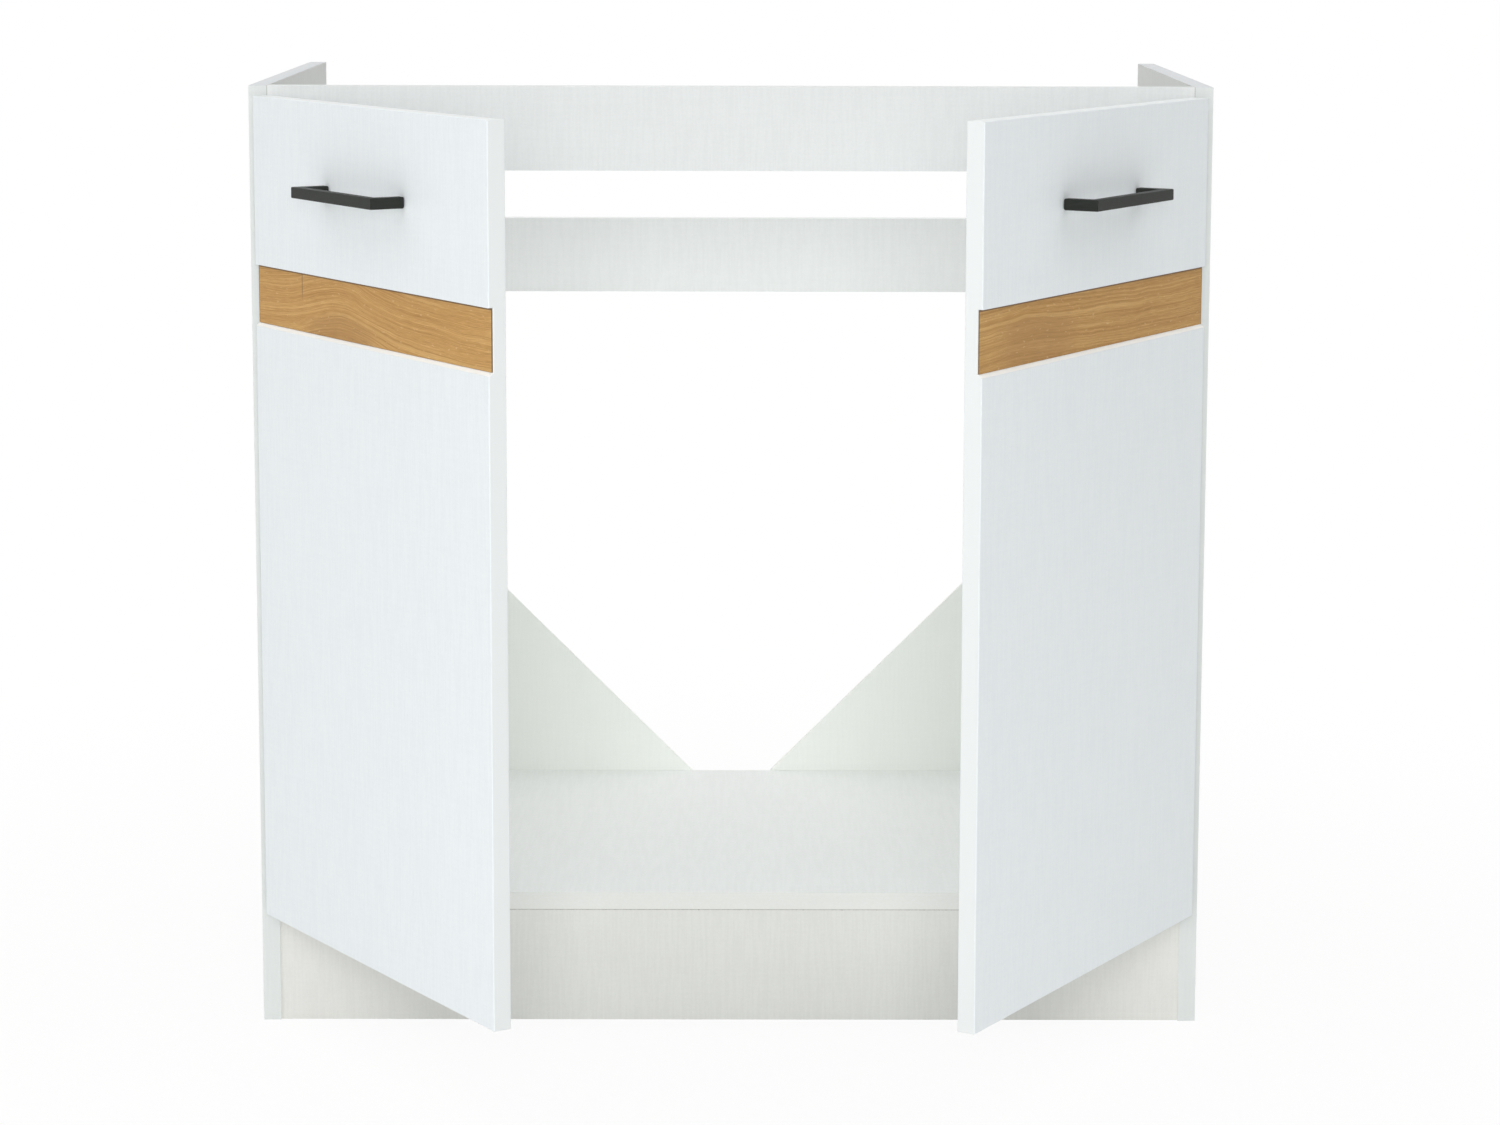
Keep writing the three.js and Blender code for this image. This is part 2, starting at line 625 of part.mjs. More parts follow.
function oakStrip() {
  const front = DOOR_FRONT + STRIP_SET_BACK;
  const strip = rectangle(
    DOOR_EDGE_GAP + DOOR_EASED_EDGE, STRIP_BOTTOM,
    DOOR_EDGE_GAP + DOOR_WIDTH - DOOR_EASED_EDGE, STRIP_TOP,
  );
  return solid(elevation(strip, front, front + STRIP_THICKNESS));
}

// The middles of the handle's two legs.
function handleLegs() {
  const middle = DOOR_EDGE_GAP + DOOR_WIDTH / 2;
  return [middle - HANDLE_CENTRES / 2, middle + HANDLE_CENTRES / 2];
}

function handle() {
  const [first, second] = handleLegs();
  const half = HANDLE_BAR_DEPTH / 2;
  const seat = DOOR_FRONT - SEAT_GAP;
  const face = DOOR_FRONT - HANDLE_STANDOFF;
  const bar = outline([
    [first - half, seat],
    [first - half, face],
    [second + half, face],
    [second + half, seat],
    [second - half, seat],
    [second - half, face + HANDLE_BAR_DEPTH],
    [first + half, face + HANDLE_BAR_DEPTH],
    [first + half, seat],
  ]);
  const low = HANDLE_LEVEL - HANDLE_BAR_HEIGHT / 2;
  const body = solid(plan(bar, low, low + HANDLE_BAR_HEIGHT, HANDLE_EDGE_BREAK));
  const threads = [first, second].map((x) => {
    const hole = disc(x, HANDLE_LEVEL, HANDLE_SCREW_RADIUS + SEAT_GAP);
    const end = DOOR_FRONT - HANDLE_SCREW_GRIP - HANDLE_THREAD_SPARE;
    return solid(elevation(hole, end, DOOR_FRONT + CUT_OVERRUN));
  });
  return body.subtract(joined(threads));
}

function handleScrew(x) {
  const seat = DOOR_BACK + SEAT_GAP;
  const shank = disc(x, HANDLE_LEVEL, HANDLE_SCREW_RADIUS);
  const head = disc(x, HANDLE_LEVEL, HANDLE_SCREW_HEAD_RADIUS);
  const slotDepth = HANDLE_SCREW_HEAD / 2;
  const slot = rectangle(
    x - CUT_OVERRUN, HANDLE_LEVEL - HANDLE_SCREW_SLOT / 2,
    x + CUT_OVERRUN, HANDLE_LEVEL + HANDLE_SCREW_SLOT / 2,
  );
  return joined([
    solid(elevation(shank, DOOR_FRONT - HANDLE_SCREW_GRIP, seat + slotDepth / 2)),
    solid(elevation(head, seat, seat + HANDLE_SCREW_HEAD, HANDLE_SCREW_EDGE)),
  ]).subtract(solid(elevation(slot, seat + slotDepth, seat + CUT_OVERRUN)));
}

function bumper(z) {
  const x = DOOR_EDGE_GAP + DOOR_WIDTH - BUMPER_FROM_EDGE;
  const seat = DOOR_BACK + SEAT_GAP;
  const pad = disc(x, z, BUMPER_RADIUS);
  return solid(elevation(pad, seat, seat + BUMPER_THICKNESS, BUMPER_EASED_EDGE));
}

// ---- Placing ----
// A group whose contents, drawn closed, turn about an upright pin by an angle in degrees.
function turningOn([x, y], degrees) {
  const turned = new THREE.Group();
  turned.position.set(x, y, 0);
  turned.rotation.z = THREE.MathUtils.degToRad(degrees);
  const drawn = new THREE.Group();
  drawn.position.set(-x, -y, 0);
  turned.add(drawn);
  return { turned, drawn };
}

// One door with its hinges, opened by an angle, in left-hand coordinates.
function hungDoor(label, openAngle) {
  const group = new THREE.Group();
  const outerTurn = openAngle * OUTER_LINK_SHARE;
  const outer = turningOn(OUTER_LINK_ARM_PIN, outerTurn);
  const inner = turningOn(INNER_LINK_ARM_PIN, openAngle * INNER_LINK_SHARE);
  const door = turningOn(OUTER_LINK_CUP_PIN, -openAngle - outerTurn);
  group.add(outer.turned, inner.turned);
  outer.drawn.add(door.turned);

  door.drawn.add(
    named(`${label}_door`, doorPanel(), DOOR_PAINT),
    named(`${label}_oak_strip`, oakStrip(), OAK),
    named(`${label}_handle`, handle(), BLACK_METAL),
  );
  handleLegs().forEach((x, i) => {
    door.drawn.add(named(`${label}_handle_screw_${i + 1}`, handleScrew(x), ZINC));
  });
  door.drawn.add(
    named(`${label}_upper_bumper`, bumper(FRONT_RAIL_BOTTOM + RAIL_HEIGHT / 2), CLEAR_RUBBER),
    named(`${label}_lower_bumper`, bumper(BOTTOM_PANEL_MIDDLE), CLEAR_RUBBER),
  );

  for (const [place, level] of Object.entries(HINGE_LEVELS)) {
    const pieces = [
      [group, "mounting_plate", mountingPlate()],
      [group, "hinge_arm", hingeArm()],
      [outer.drawn, "outer_link", outerLink()],
      [inner.drawn, "inner_link", innerLink()],
      [door.drawn, "hinge_cup", hingeCup()],
    ];
    for (const [parent, piece, body] of pieces) {
      const mesh = named(`${label}_${place}_${piece}`, body, NICKEL);
      mesh.position.z = level;
      parent.add(mesh);
    }
  }
  return group;
}

const cabinet = new THREE.Group();
cabinet.position.y = -PLINTH_MIDDLE;
cabinet.add(carcass());

const leftDoor = hungDoor("left", LEFT_DOOR_ANGLE);
leftDoor.position.x = -CABINET_WIDTH / 2;

const rightDoor = hungDoor("right", RIGHT_DOOR_ANGLE);
rightDoor.position.x = CABINET_WIDTH / 2;
rightDoor.scale.x = -1;

cabinet.add(leftDoor, rightDoor);
cabinet.updateMatrixWorld(true);

export default cabinet;
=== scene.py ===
# %% [markdown]
# # Sink base cabinet
# The cabinet stands open in front of a white sweep, as a shop would photograph it. Its real shapes
# come from the imported model, so this lesson is about finishes, light and the camera. Loading the
# model is the first step, because everything else is measured from it.

import math

import bmesh
import bpy
from mathutils import Matrix, Vector


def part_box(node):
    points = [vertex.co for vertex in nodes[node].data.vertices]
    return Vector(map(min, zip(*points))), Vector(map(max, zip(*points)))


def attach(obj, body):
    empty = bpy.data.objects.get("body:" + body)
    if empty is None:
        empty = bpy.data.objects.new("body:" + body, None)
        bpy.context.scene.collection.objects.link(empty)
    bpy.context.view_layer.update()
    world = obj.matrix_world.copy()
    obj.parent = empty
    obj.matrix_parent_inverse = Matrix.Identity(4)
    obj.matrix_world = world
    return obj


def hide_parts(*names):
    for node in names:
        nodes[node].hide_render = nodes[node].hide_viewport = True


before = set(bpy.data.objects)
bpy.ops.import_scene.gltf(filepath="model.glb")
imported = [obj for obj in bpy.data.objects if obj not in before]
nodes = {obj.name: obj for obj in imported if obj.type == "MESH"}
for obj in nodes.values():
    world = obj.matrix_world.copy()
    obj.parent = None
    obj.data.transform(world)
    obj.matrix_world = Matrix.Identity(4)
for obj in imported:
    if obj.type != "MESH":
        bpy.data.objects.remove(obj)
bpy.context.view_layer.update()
MM = 0.001

# %% [markdown]
# A finish is a small network of nodes. Written as plain arithmetic it is easier to read and to
# change, so one class stands for a value on its way through the network. Adding or multiplying two
# of them adds the node that does it. Numbers use a Math node and places use Vector Math. Colours
# are only ever blended, by a Mix node further down, because a Math node would turn a colour grey.


# %% A value that can be used in sums
class Wire:
    def __init__(self, recipe, socket):
        self.recipe = recipe
        self.socket = socket

    def __add__(self, other):
        return self.recipe.sum_of("ADD", self, other)

    def __radd__(self, other):
        return self.recipe.sum_of("ADD", other, self)

    def __sub__(self, other):
        return self.recipe.sum_of("SUBTRACT", self, other)

    def __rsub__(self, other):
        return self.recipe.sum_of("SUBTRACT", other, self)

    def __mul__(self, other):
        return self.recipe.sum_of("MULTIPLY", self, other)

    def __rmul__(self, other):
        return self.recipe.sum_of("MULTIPLY", other, self)

    def __truediv__(self, other):
        return self.recipe.sum_of("DIVIDE", self, other)

    def __rtruediv__(self, other):
        return self.recipe.sum_of("DIVIDE", other, self)

    def __gt__(self, other):
        return self.recipe.sum_of("GREATER_THAN", self, other)

    def __lt__(self, other):
        return self.recipe.sum_of("LESS_THAN", self, other)


# %% [markdown]
# The network makes its own nodes. One method is enough for every kind: the kind of node first,
# then its settings, then what goes into its sockets, which may be a plain value or another wire.
# The settings come first because they decide which sockets a node has. The stops of a colour ramp
# are a setting too, although Blender keeps them in a list of their own.


# %% A network that makes its nodes
class Network:
    def __init__(self, tree):
        self.tree = tree
        self.tree.nodes.clear()

    def node(self, kind, settings=None, sockets=None, output=0):
        made = self.tree.nodes.new(kind)
        for name, value in (settings or {}).items():
            if name == "stops":
                self.set_stops(made.color_ramp.elements, value)
            else:
                setattr(made, name, value)
        for name, value in (sockets or {}).items():
            if isinstance(value, Wire):
                self.tree.links.new(value.socket, made.inputs[name])
            else:
                made.inputs[name].default_value = value
        if made.outputs:
            return Wire(self, made.outputs[output])

    def set_stops(self, elements, stops):
        elements.remove(elements[1])
        elements[0].position = stops[0][0]
        elements[0].color = (*stops[0][1], 1)
        for position, colour in stops[1:]:
            elements.new(position).color = (*colour, 1)

    def sum_of(self, operation, first, second):
        kinds = {v.socket.type for v in (first, second) if isinstance(v, Wire)}
        kind = "ShaderNodeVectorMath" if "VECTOR" in kinds else "ShaderNodeMath"
        return self.node(kind, {"operation": operation}, {0: first, 1: second})


# %% [markdown]
# Some nodes come back in nearly every finish, so a recipe has short names for them. `place` is
# where a point of the piece is, in metres. It moves along with the piece, so a grain never slides
# when a door swings. `fade` rises softly from 0 to 1 between two values, and `along` measures a
# place or a direction against another direction.


# %% A recipe for one finish
class Recipe(Network):
    def place(self):
        return self.node("ShaderNodeTexCoord", output="Object")

    def facing(self):
        return self.node("ShaderNodeTexCoord", output="Normal")

    def along(self, place, direction):
        settings = {"operation": "DOT_PRODUCT"}
        return self.node("ShaderNodeVectorMath", settings, {0: place, 1: direction}, "Value")

    def point(self, x, y, z):
        return self.node("ShaderNodeCombineXYZ", {}, {"X": x, "Y": y, "Z": z})

    def noise(self, place, scale=1.0, detail=2.0, roughness=0.5):
        sockets = {"Vector": place, "Scale": scale, "Detail": detail, "Roughness": roughness}
        return self.node("ShaderNodeTexNoise", {}, sockets)

    def fade(self, value, start, end):
        settings = {"interpolation_type": "SMOOTHSTEP"}
        sockets = {"Value": value, "From Min": start, "From Max": end}
        return self.node("ShaderNodeMapRange", settings, sockets)

    def blended(self, first, second, share):
        settings = {"data_type": "RGBA"}
        colours = [v if isinstance(v, Wire) else (*v, 1) for v in (first, second)]
        return self.node("ShaderNodeMix", settings, {0: share, 6: colours[0], 7: colours[1]}, 2)

    def bump(self, height, depth, strength):
        sockets = {"Height": height, "Distance": depth, "Strength": strength}
        return self.node("ShaderNodeBump", {}, sockets)


# %% [markdown]
# Every finish starts as an empty material and ends in one shader, so these two steps are written
# only once.


# %% First and last step of a finish
def new_finish(name):
    material = bpy.data.materials.new(name)
    material.use_nodes = True
    return material, Recipe(material.node_tree)


def finished(recipe, sockets):
    shader = recipe.node("ShaderNodeBsdfPrincipled", {}, sockets)
    recipe.node("ShaderNodeOutputMaterial", {}, {"Surface": shader})


# %% [markdown]
# The cabinet's own directions come back in every step: x runs to the right, y to the back and z up.
# A finish often has to know which way a face looks, for instance to leave only the rear edge of a
# board bare. A face counts as looking in a direction when the two agree by more than 0.7, which is
# about the cosine of 45 degrees.

# %% Directions of the cabinet
RIGHT = Vector((1, 0, 0))
FRONT = Vector((0, -1, 0))
BACK = Vector((0, 1, 0))
UP = Vector((0, 0, 1))
DOWN = Vector((0, 0, -1))
AGREES = 0.7


def looks(recipe, direction, agrees=AGREES):
    return recipe.along(recipe.facing(), direction) > agrees


print("a face looks that way within", round(math.degrees(math.acos(AGREES))), "degrees")

# %% [markdown]
# The carcass is melamine-faced chipboard: a printed paper under a hard clear resin, pressed against
# a plate that leaves a fine linen texture. From a step away it is plain white, and the texture only
# shows as faint streaks. Two noises, each stretched along one direction, cross like threads. They
# move the colour by a hair, vary the gloss, and raise the surface by some hundredths of a
# millimetre. The streaks that a camera can still see at three metres are the coarser threads, a
# little over a millimetre wide and up to a hand long, most of them upright, with short thick
# places, or slubs, scattered between them.

# %% Linen-pressed melamine
THREAD_LEVELS = (0.36, 0.64)
LENGTHWISE_SHARE, CROSSWISE_SHARE, SLUB_SHARE = 0.52, 0.16, 0.32
COARSE_SHARE, CLOTH_SHARE, CLOUD_SHARE = 0.6, 0.3, 0.3
PRINT_LEVELS = (0.25, 0.95)


def linen(recipe, place, warp, weft):
    lengthwise = recipe.noise(place * warp, detail=3)
    crosswise = recipe.noise(place * weft, detail=3)
    return (lengthwise + crosswise) * 0.5


def streaks(recipe, place, warp, weft):
    lengthwise = recipe.fade(recipe.noise(place * warp, detail=2), *THREAD_LEVELS)
    crosswise = recipe.fade(recipe.noise(place * weft, detail=1), *THREAD_LEVELS)
    slubs = recipe.fade(recipe.noise(place, scale=420.0, detail=1), *THREAD_LEVELS)
    return lengthwise * LENGTHWISE_SHARE + crosswise * CROSSWISE_SHARE + slubs * SLUB_SHARE


def print_shade(recipe, place, cloth, coarse, cloud_scale):
    clouds = recipe.noise(place, cloud_scale, detail=2)
    sum_of_all = coarse * COARSE_SHARE + cloth * CLOTH_SHARE + clouds * CLOUD_SHARE
    return recipe.fade(sum_of_all, *PRINT_LEVELS)


def darker(colour, step):
    return tuple(c - step for c in colour)


print("shares of the threads:", LENGTHWISE_SHARE, CROSSWISE_SHARE, SLUB_SHARE)

# %% [markdown]
# Where nobody looks, such boards have no edge band and the chips show: at the back of the sides and
# of the bottom, and on the edges that look down. Cells of a Voronoi texture, a little squashed,
# look like pressed chips. The direction that a face looks in says whether it is such a cut.

# %% Bare chipboard on the cut edges
CELLS_PER_METRE = (420, 900, 900)
CELL_TO_SHADE = (0.4, 0.3, 0.3)
CHIP_BROWNS = [(0.05, (0.20, 0.115, 0.05)), (0.35, (0.46, 0.31, 0.17)), (0.9, (0.66, 0.50, 0.32))]


def chipboard(recipe, place):
    sockets = {"Vector": place * CELLS_PER_METRE, "Scale": 1.0}
    cells = recipe.node("ShaderNodeTexVoronoi", {}, sockets, "Color")
    shade = recipe.along(cells, CELL_TO_SHADE)
    return recipe.node("ShaderNodeValToRGB", {"stops": CHIP_BROWNS}, {"Fac": shade})


def cut_faces(recipe, directions):
    cuts = [looks(recipe, direction) for direction in directions]
    return sum(cuts[1:], cuts[0])


print("chips are", [round(1 / (cells * MM), 1) for cells in CELLS_PER_METRE], "mm in size")

# %% [markdown]
# Where the plinth meets the bottom panel, a thin dark line runs right across the cabinet. It is
# painted shade, in the real gap under the overhang of the bottom panel. The line is uneven: noise
# widens it in a few short places, and it nearly closes in other stretches. A noise along the line
# moves its lower edge. The joints between the rails and the sides are cleaner: a grey hairline of
# painted shade at each end of a rail.

# %% Joint lines between boards, in painted shade
SEAM_WIDTH = 0.9 * MM
SEAM_SHADE_BROWN = (0.19, 0.17, 0.14)
WIDENINGS_PER_METRE, WIDENING_LEVELS = (90, 0, 0), (0.60, 0.74)
FINE_WOBBLE_PER_METRE = (600, 600, 600)
SEAM_LEAST, WIDENINGS_WIDEN, FINE_WOBBLE_WIDENS = 0.75, 1.3, 0.5
SEAM_EDGE = (1.15, 0.75)
HAIRLINE_START, HAIRLINE_END = 0.9 * MM, 0.3 * MM
JOINT_SHADE_GREY, HAIRLINE_SHARE = (0.40, 0.40, 0.37), 0.7


# Painted shade in the gap under the overhang of the bottom panel.
def painted_seam_shade(recipe, place, level):
    drop = level - recipe.along(place, UP)
    width_noise = recipe.noise(place * WIDENINGS_PER_METRE, detail=3, roughness=0.7)
    widenings = recipe.fade(width_noise, *WIDENING_LEVELS)
    fine_wobble = recipe.noise(place * FINE_WOBBLE_PER_METRE, detail=2)
    reach = SEAM_WIDTH * (SEAM_LEAST + widenings * WIDENINGS_WIDEN + fine_wobble * FINE_WOBBLE_WIDENS)
    return recipe.fade(drop / reach, *SEAM_EDGE) * (drop > -0.1 * MM)


# Painted shade in the joint at each end of a rail.
def painted_joint_shade(recipe, place, end):
    across = recipe.along(place, RIGHT)
    start, full = ((end - gap) ** 2 for gap in (HAIRLINE_START, HAIRLINE_END))
    return recipe.fade(across * across, start, full) * HAIRLINE_SHARE


print("seam", SEAM_WIDTH / MM, "mm wide, hairlines", HAIRLINE_START / MM, "mm")

# %% [markdown]
# A board's finish is put together in layers. The pressed face comes first. Bands of other tape
# cover some edges, and on the top edges of the sides a greyer band is painted shade. Joint lines of
# painted shade cross it, and bare chips take over on the cuts. Each layer is a colour that is
# blended over the one before it, wherever its mask says so. Chips are also duller than resin, so
# the same mask raises the roughness.

# %% Layers of a board
FACE_STEP, BAND_STEP = 0.034, 0.020
RESIN_ROUGHNESS, CLOTH_DULLS, CHIPS_DULL = 0.50, 0.14, 0.3
LINEN_DEPTH = 0.08 * MM


def taped_and_shaded(recipe, face, bands, coarse):
    for direction, tape_and_shade in bands:
        towards = looks(recipe, direction)
        tape_and_shade_face = recipe.blended(darker(tape_and_shade, BAND_STEP), tape_and_shade, coarse)
        face = recipe.blended(face, tape_and_shade_face, towards)
    return face


def melamine_board(name, white, threads, cuts, gloss=0.15, bands=(), rail_end=None, seam=None):
    material, recipe = new_finish(name)
    place = recipe.place()
    cloth = linen(recipe, place, *threads["fine"])
    coarse = streaks(recipe, place, *threads["coarse"])
    shade = print_shade(recipe, place, cloth, coarse, cloud_scale=4.0)
    face = recipe.blended(darker(white, FACE_STEP), white, shade)
    face = taped_and_shaded(recipe, face, bands, coarse)
    if rail_end is not None:
        # painted shade in the joints at the rail ends
        face = recipe.blended(face, JOINT_SHADE_GREY, painted_joint_shade(recipe, place, rail_end))
    if seam is not None:
        # painted shade in the gap above the plinth
        face = recipe.blended(face, SEAM_SHADE_BROWN, painted_seam_shade(recipe, place, seam))
    cut = cut_faces(recipe, cuts)
    finished(
        recipe,
        {
            "Base Color": recipe.blended(face, chipboard(recipe, place), cut),
            "Roughness": RESIN_ROUGHNESS + cloth * CLOTH_DULLS + cut * CHIPS_DULL,
            "Specular IOR Level": gloss,
            "Normal": recipe.bump(cloth + coarse * 0.5, LINEN_DEPTH, 0.6),
        },
    )
    return material


# %% [markdown]
# Each board has its own threads: upright on the sides, rails and plinth, and running from front to
# back on the bottom. How often a thread changes per metre is given for each direction, so the
# smallest of the three numbers is the way it runs. The plinth and the band on the front edge of the
# bottom are a warmer white than the rails. The sides have a darker band on their front edges.
# Their top edges, which a worktop will hide, get a greyer band that is painted shade.

# %% Finishes of the boards
UPRIGHT = {"fine": ((700, 700, 60), (60, 60, 700)), "coarse": ((420, 420, 26), (22, 22, 300))}
LEVEL = {"fine": ((700, 60, 700), (60, 700, 700)), "coarse": ((420, 26, 420), (22, 300, 22))}
PLINTH_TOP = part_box("plinth_board")[1].z
RAIL_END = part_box("front_rail")[1].x
# the rear rail's white is lighter than the front rail's: painted light that makes up for the shade
# it stands in
RAIL_WHITES_REAR_LIGHTENED = {"front": (0.838, 0.856, 0.850), "rear": (0.925, 0.944, 0.933)}

side_board = melamine_board(
    "side_melamine",
    (0.850, 0.860, 0.842),
    UPRIGHT,
    cuts=[BACK, DOWN],
    gloss=0.05,
    # the top-edge band is painted shade: a greyer white where the edges look up
    bands=[(FRONT, (0.780, 0.812, 0.800)), (UP, (0.730, 0.748, 0.765))],
)
front_rail_board, rear_rail_board = (
    melamine_board(f"{where}_rail_melamine", white, UPRIGHT, cuts=[DOWN], rail_end=RAIL_END)
    for where, white in RAIL_WHITES_REAR_LIGHTENED.items()
)
plinth_finish = melamine_board(
    "plinth_melamine", (0.822, 0.824, 0.790), UPRIGHT, cuts=[DOWN], seam=PLINTH_TOP
)
# the bottom's white is lighter than the sides': painted light that makes up for the shade inside
# the cabinet
bottom_board = melamine_board(
    "bottom_melamine",
    (0.902, 0.922, 0.907),
    LEVEL,
    cuts=[BACK],
    gloss=0.06,
    bands=[(FRONT, (0.845, 0.850, 0.820))],
)
print("plinth top at", round(PLINTH_TOP / MM, 1), "mm, rails end at", round(RAIL_END / MM, 1), "mm")

# %% [markdown]
# The two triangles at the back are thin hardboard: lacquered white on the side that shows, and
# left brown behind, with short pressed fibres. One network paints both, by the way the face looks.
# The nails that hold a triangle are part of the same piece. Their heads are all that stands out
# behind the board, so whatever lies a fifth of a millimetre further back than the board is zinc.

# %% Thin hardboard, white in front and brown behind
HARDBOARD = 3 * MM
HEAD_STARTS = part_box("bottom_panel")[1].y + HARDBOARD + 0.2 * MM
FIBRES_PER_METRE = (500, 500, 500)
LACQUER_WHITES = ((0.930, 0.955, 0.910), (0.962, 0.984, 0.940))
FIBRE_BROWNS = ((0.17, 0.095, 0.045), (0.36, 0.22, 0.12))
NAIL_GREYS = ((0.62, 0.64, 0.66), (0.44, 0.46, 0.48))
LACQUER_ROUGHNESS, FIBRES_DULL, HEAD_SHINES = 0.5, 0.25, 0.42


def hardboard(name):
    material, recipe = new_finish(name)
    place = recipe.place()
    fibres = recipe.noise(place * FIBRES_PER_METRE, detail=4, roughness=0.7)
    coarse = streaks(recipe, place, *UPRIGHT["coarse"])
    white = recipe.blended(*LACQUER_WHITES, coarse)
    brown = recipe.blended(*FIBRE_BROWNS, recipe.fade(fibres, 0.3, 0.7))
    bare = looks(recipe, BACK, agrees=0.5)
    head = recipe.along(place, BACK) > HEAD_STARTS
    finished(
        recipe,
        {
            "Base Color": recipe.blended(
                recipe.blended(white, brown, bare), recipe.blended(*NAIL_GREYS, fibres), head
            ),
            "Metallic": head,
            "Roughness": LACQUER_ROUGHNESS + bare * FIBRES_DULL - head * HEAD_SHINES,
            "Specular IOR Level": 0.2,
            "Normal": recipe.bump(fibres, 0.1 * MM, 0.5),
        },
    )
    return material


backing = hardboard("gusset_hardboard")
print("nail heads start at", round(HEAD_STARTS / MM, 1), "mm")

# %% [markdown]
# The doors stand open, each by its own angle. Before anything is painted on them, or fitted to them
# later, we ask the oak strips which way they face. Turned by a quarter, that gives the way from the
# hinges to the free edge.


# %% The way each door faces
def largest_face(name):
    """The outward direction of the largest flat that looks to the front."""
    flats = [p for p in nodes[name].data.polygons if abs(p.normal.z) < 0.5 and p.normal.y < 0]
    return max(flats, key=lambda flat: flat.area).normal.normalized()


faced = {side: largest_face(f"{side}_oak_strip") for side in ("left", "right")}
from_hinge = {side: UP.cross(faced[side]) * (1 if side == "left" else -1) for side in faced}
for side, way in faced.items():
    print(side, "door faces", [round(v, 3) for v in way])

# %% [markdown]
# The doors are cooler and smoother than the carcass: sprayed or foiled fibreboard with a satin
# face. What gives such a face away is a very shallow, wide ripple, like orange peel, and a faint
# trace of the same pressed texture. The edges are a separate band, a touch greyer. Below the oak
# the door has a bevelled lip that looks up, and a painted highlight in warm near-white makes it a
# bright line. Other bevels look up too, so the lip is also told by its height.

# %% Satin door face
LIP_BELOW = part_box("left_oak_strip")[0].z + 10 * MM
DOOR_WHITES = ((0.838, 0.887, 0.908), (0.872, 0.916, 0.936))
DOOR_BAND = (0.795, 0.822, 0.822)
# painted highlight: the warm near-white of the lip that looks up
LIP_HIGHLIGHT_WHITE = (1.0, 1.0, 0.97)
SATIN_ROUGHNESS, PRESSING_DULLS = 0.34, 0.12
PEEL_DEPTH = 0.05 * MM
TURNED_AWAY = (0.2, 0.6)
TURNED_UP = (0.5, 0.65)


def door_finish(name, out):
    material, recipe = new_finish(name)
    place = recipe.place()
    peel = recipe.noise(place, scale=260.0, detail=2)
    cloth = linen(recipe, place, *UPRIGHT["fine"])
    coarse = streaks(recipe, place, *UPRIGHT["coarse"])
    face = recipe.blended(*DOOR_WHITES, print_shade(recipe, place, cloth, coarse, cloud_scale=5.0))
    looks_out = recipe.along(recipe.facing(), out)
    edge = 1 - recipe.fade(looks_out * looks_out, *TURNED_AWAY)
    looks_up = recipe.along(recipe.facing(), UP)
    # painted highlight on the faces below the oak that look up
    lip_highlight = recipe.fade(looks_up, *TURNED_UP) * (recipe.along(place, UP) < LIP_BELOW)
    finished(
        recipe,
        {
            "Base Color": recipe.blended(recipe.blended(face, DOOR_BAND, edge), LIP_HIGHLIGHT_WHITE, lip_highlight),
            "Roughness": SATIN_ROUGHNESS + cloth * PRESSING_DULLS,
            "Specular IOR Level": 0.3,
            "Normal": recipe.bump(peel * 0.6 + cloth, PEEL_DEPTH, 0.5),
        },
    )
    return material


door_paint = {side: door_finish(f"{side}_door_satin", faced[side]) for side in faced}
print("lip below", round(LIP_BELOW / MM, 1), "mm")

# %% [markdown]
# Oak is the one warm thing in the picture, so it gets the most care. A board sawn lengthwise shows
# growth rings as long lines that arch over the heart. We draw such lines along a bent height: the
# height up the strip less an arch, plus a slow wobble. A noise that hardly changes along the strip
# but quickly across it then follows those curves. Each pair of numbers says how often such a noise
# changes in a metre, along the strip and across it.

# %% Lines that arch over the heart of the oak
ARCH_WIDTH = 80 * MM
WOBBLE_HEIGHT = 10 * MM
RINGS_ALONG = 6
BROAD_LINES, FIBRE_LINES = (4, 150), (70, 2600)
PORE_LINES, FLECK_LINES = (55, 1500), (160, 420)


def strip_distances(recipe, side):
    """How far a point is from the strip's hinge end and from its lower edge, and its size."""
    low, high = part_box(f"{side}_oak_strip")
    start = Vector((low.x if side == "left" else high.x, high.y, low.z))
    place = recipe.place()
    u = recipe.along(place, from_hinge[side]) - start.dot(from_hinge[side])
    v = recipe.along(place, UP) - low.z
    length = abs((high.x - low.x) / from_hinge[side].x)
    return u, v, length, high.z - low.z


def arched(recipe, u, v, heart, arch_height, seed):
    offset = (u - heart[0]) / ARCH_WIDTH
    arch = recipe.node("ShaderNodeMath", {"operation": "EXPONENT"}, {0: offset * offset * -1})
    wobble = recipe.noise(recipe.point(u * 9, v * 22, seed), detail=2) - 0.5
    return arch, v - heart[1] - arch * arch_height + wobble * WOBBLE_HEIGHT


def grain_lines(recipe, u, across, per_metre, seed, detail, roughness=0.5):
    spot = recipe.point(u * per_metre[0], across * per_metre[1], seed)
    return recipe.noise(spot, detail=detail, roughness=roughness)


print("arch", round(ARCH_WIDTH / MM), "mm wide, wobble", round(WOBBLE_HEIGHT / MM), "mm high")

# %% [markdown]
# Four browns follow the lines. Over them lie the marks of the wood: a darker heart, one pale line
# along the arch, short dark pores and pale flecks. Pores and fibres are the same kind of noise as
# the lines, only finer. From three metres the lines melt into a calm golden brown, so their
# contrast stays low. On the left strip one small check crosses the grain. Along the top edge and
# both ends, where the strip sits back in its groove, a dark line is painted shade. Each mark, and
# the painted shade too, is a colour and how strongly it covers.

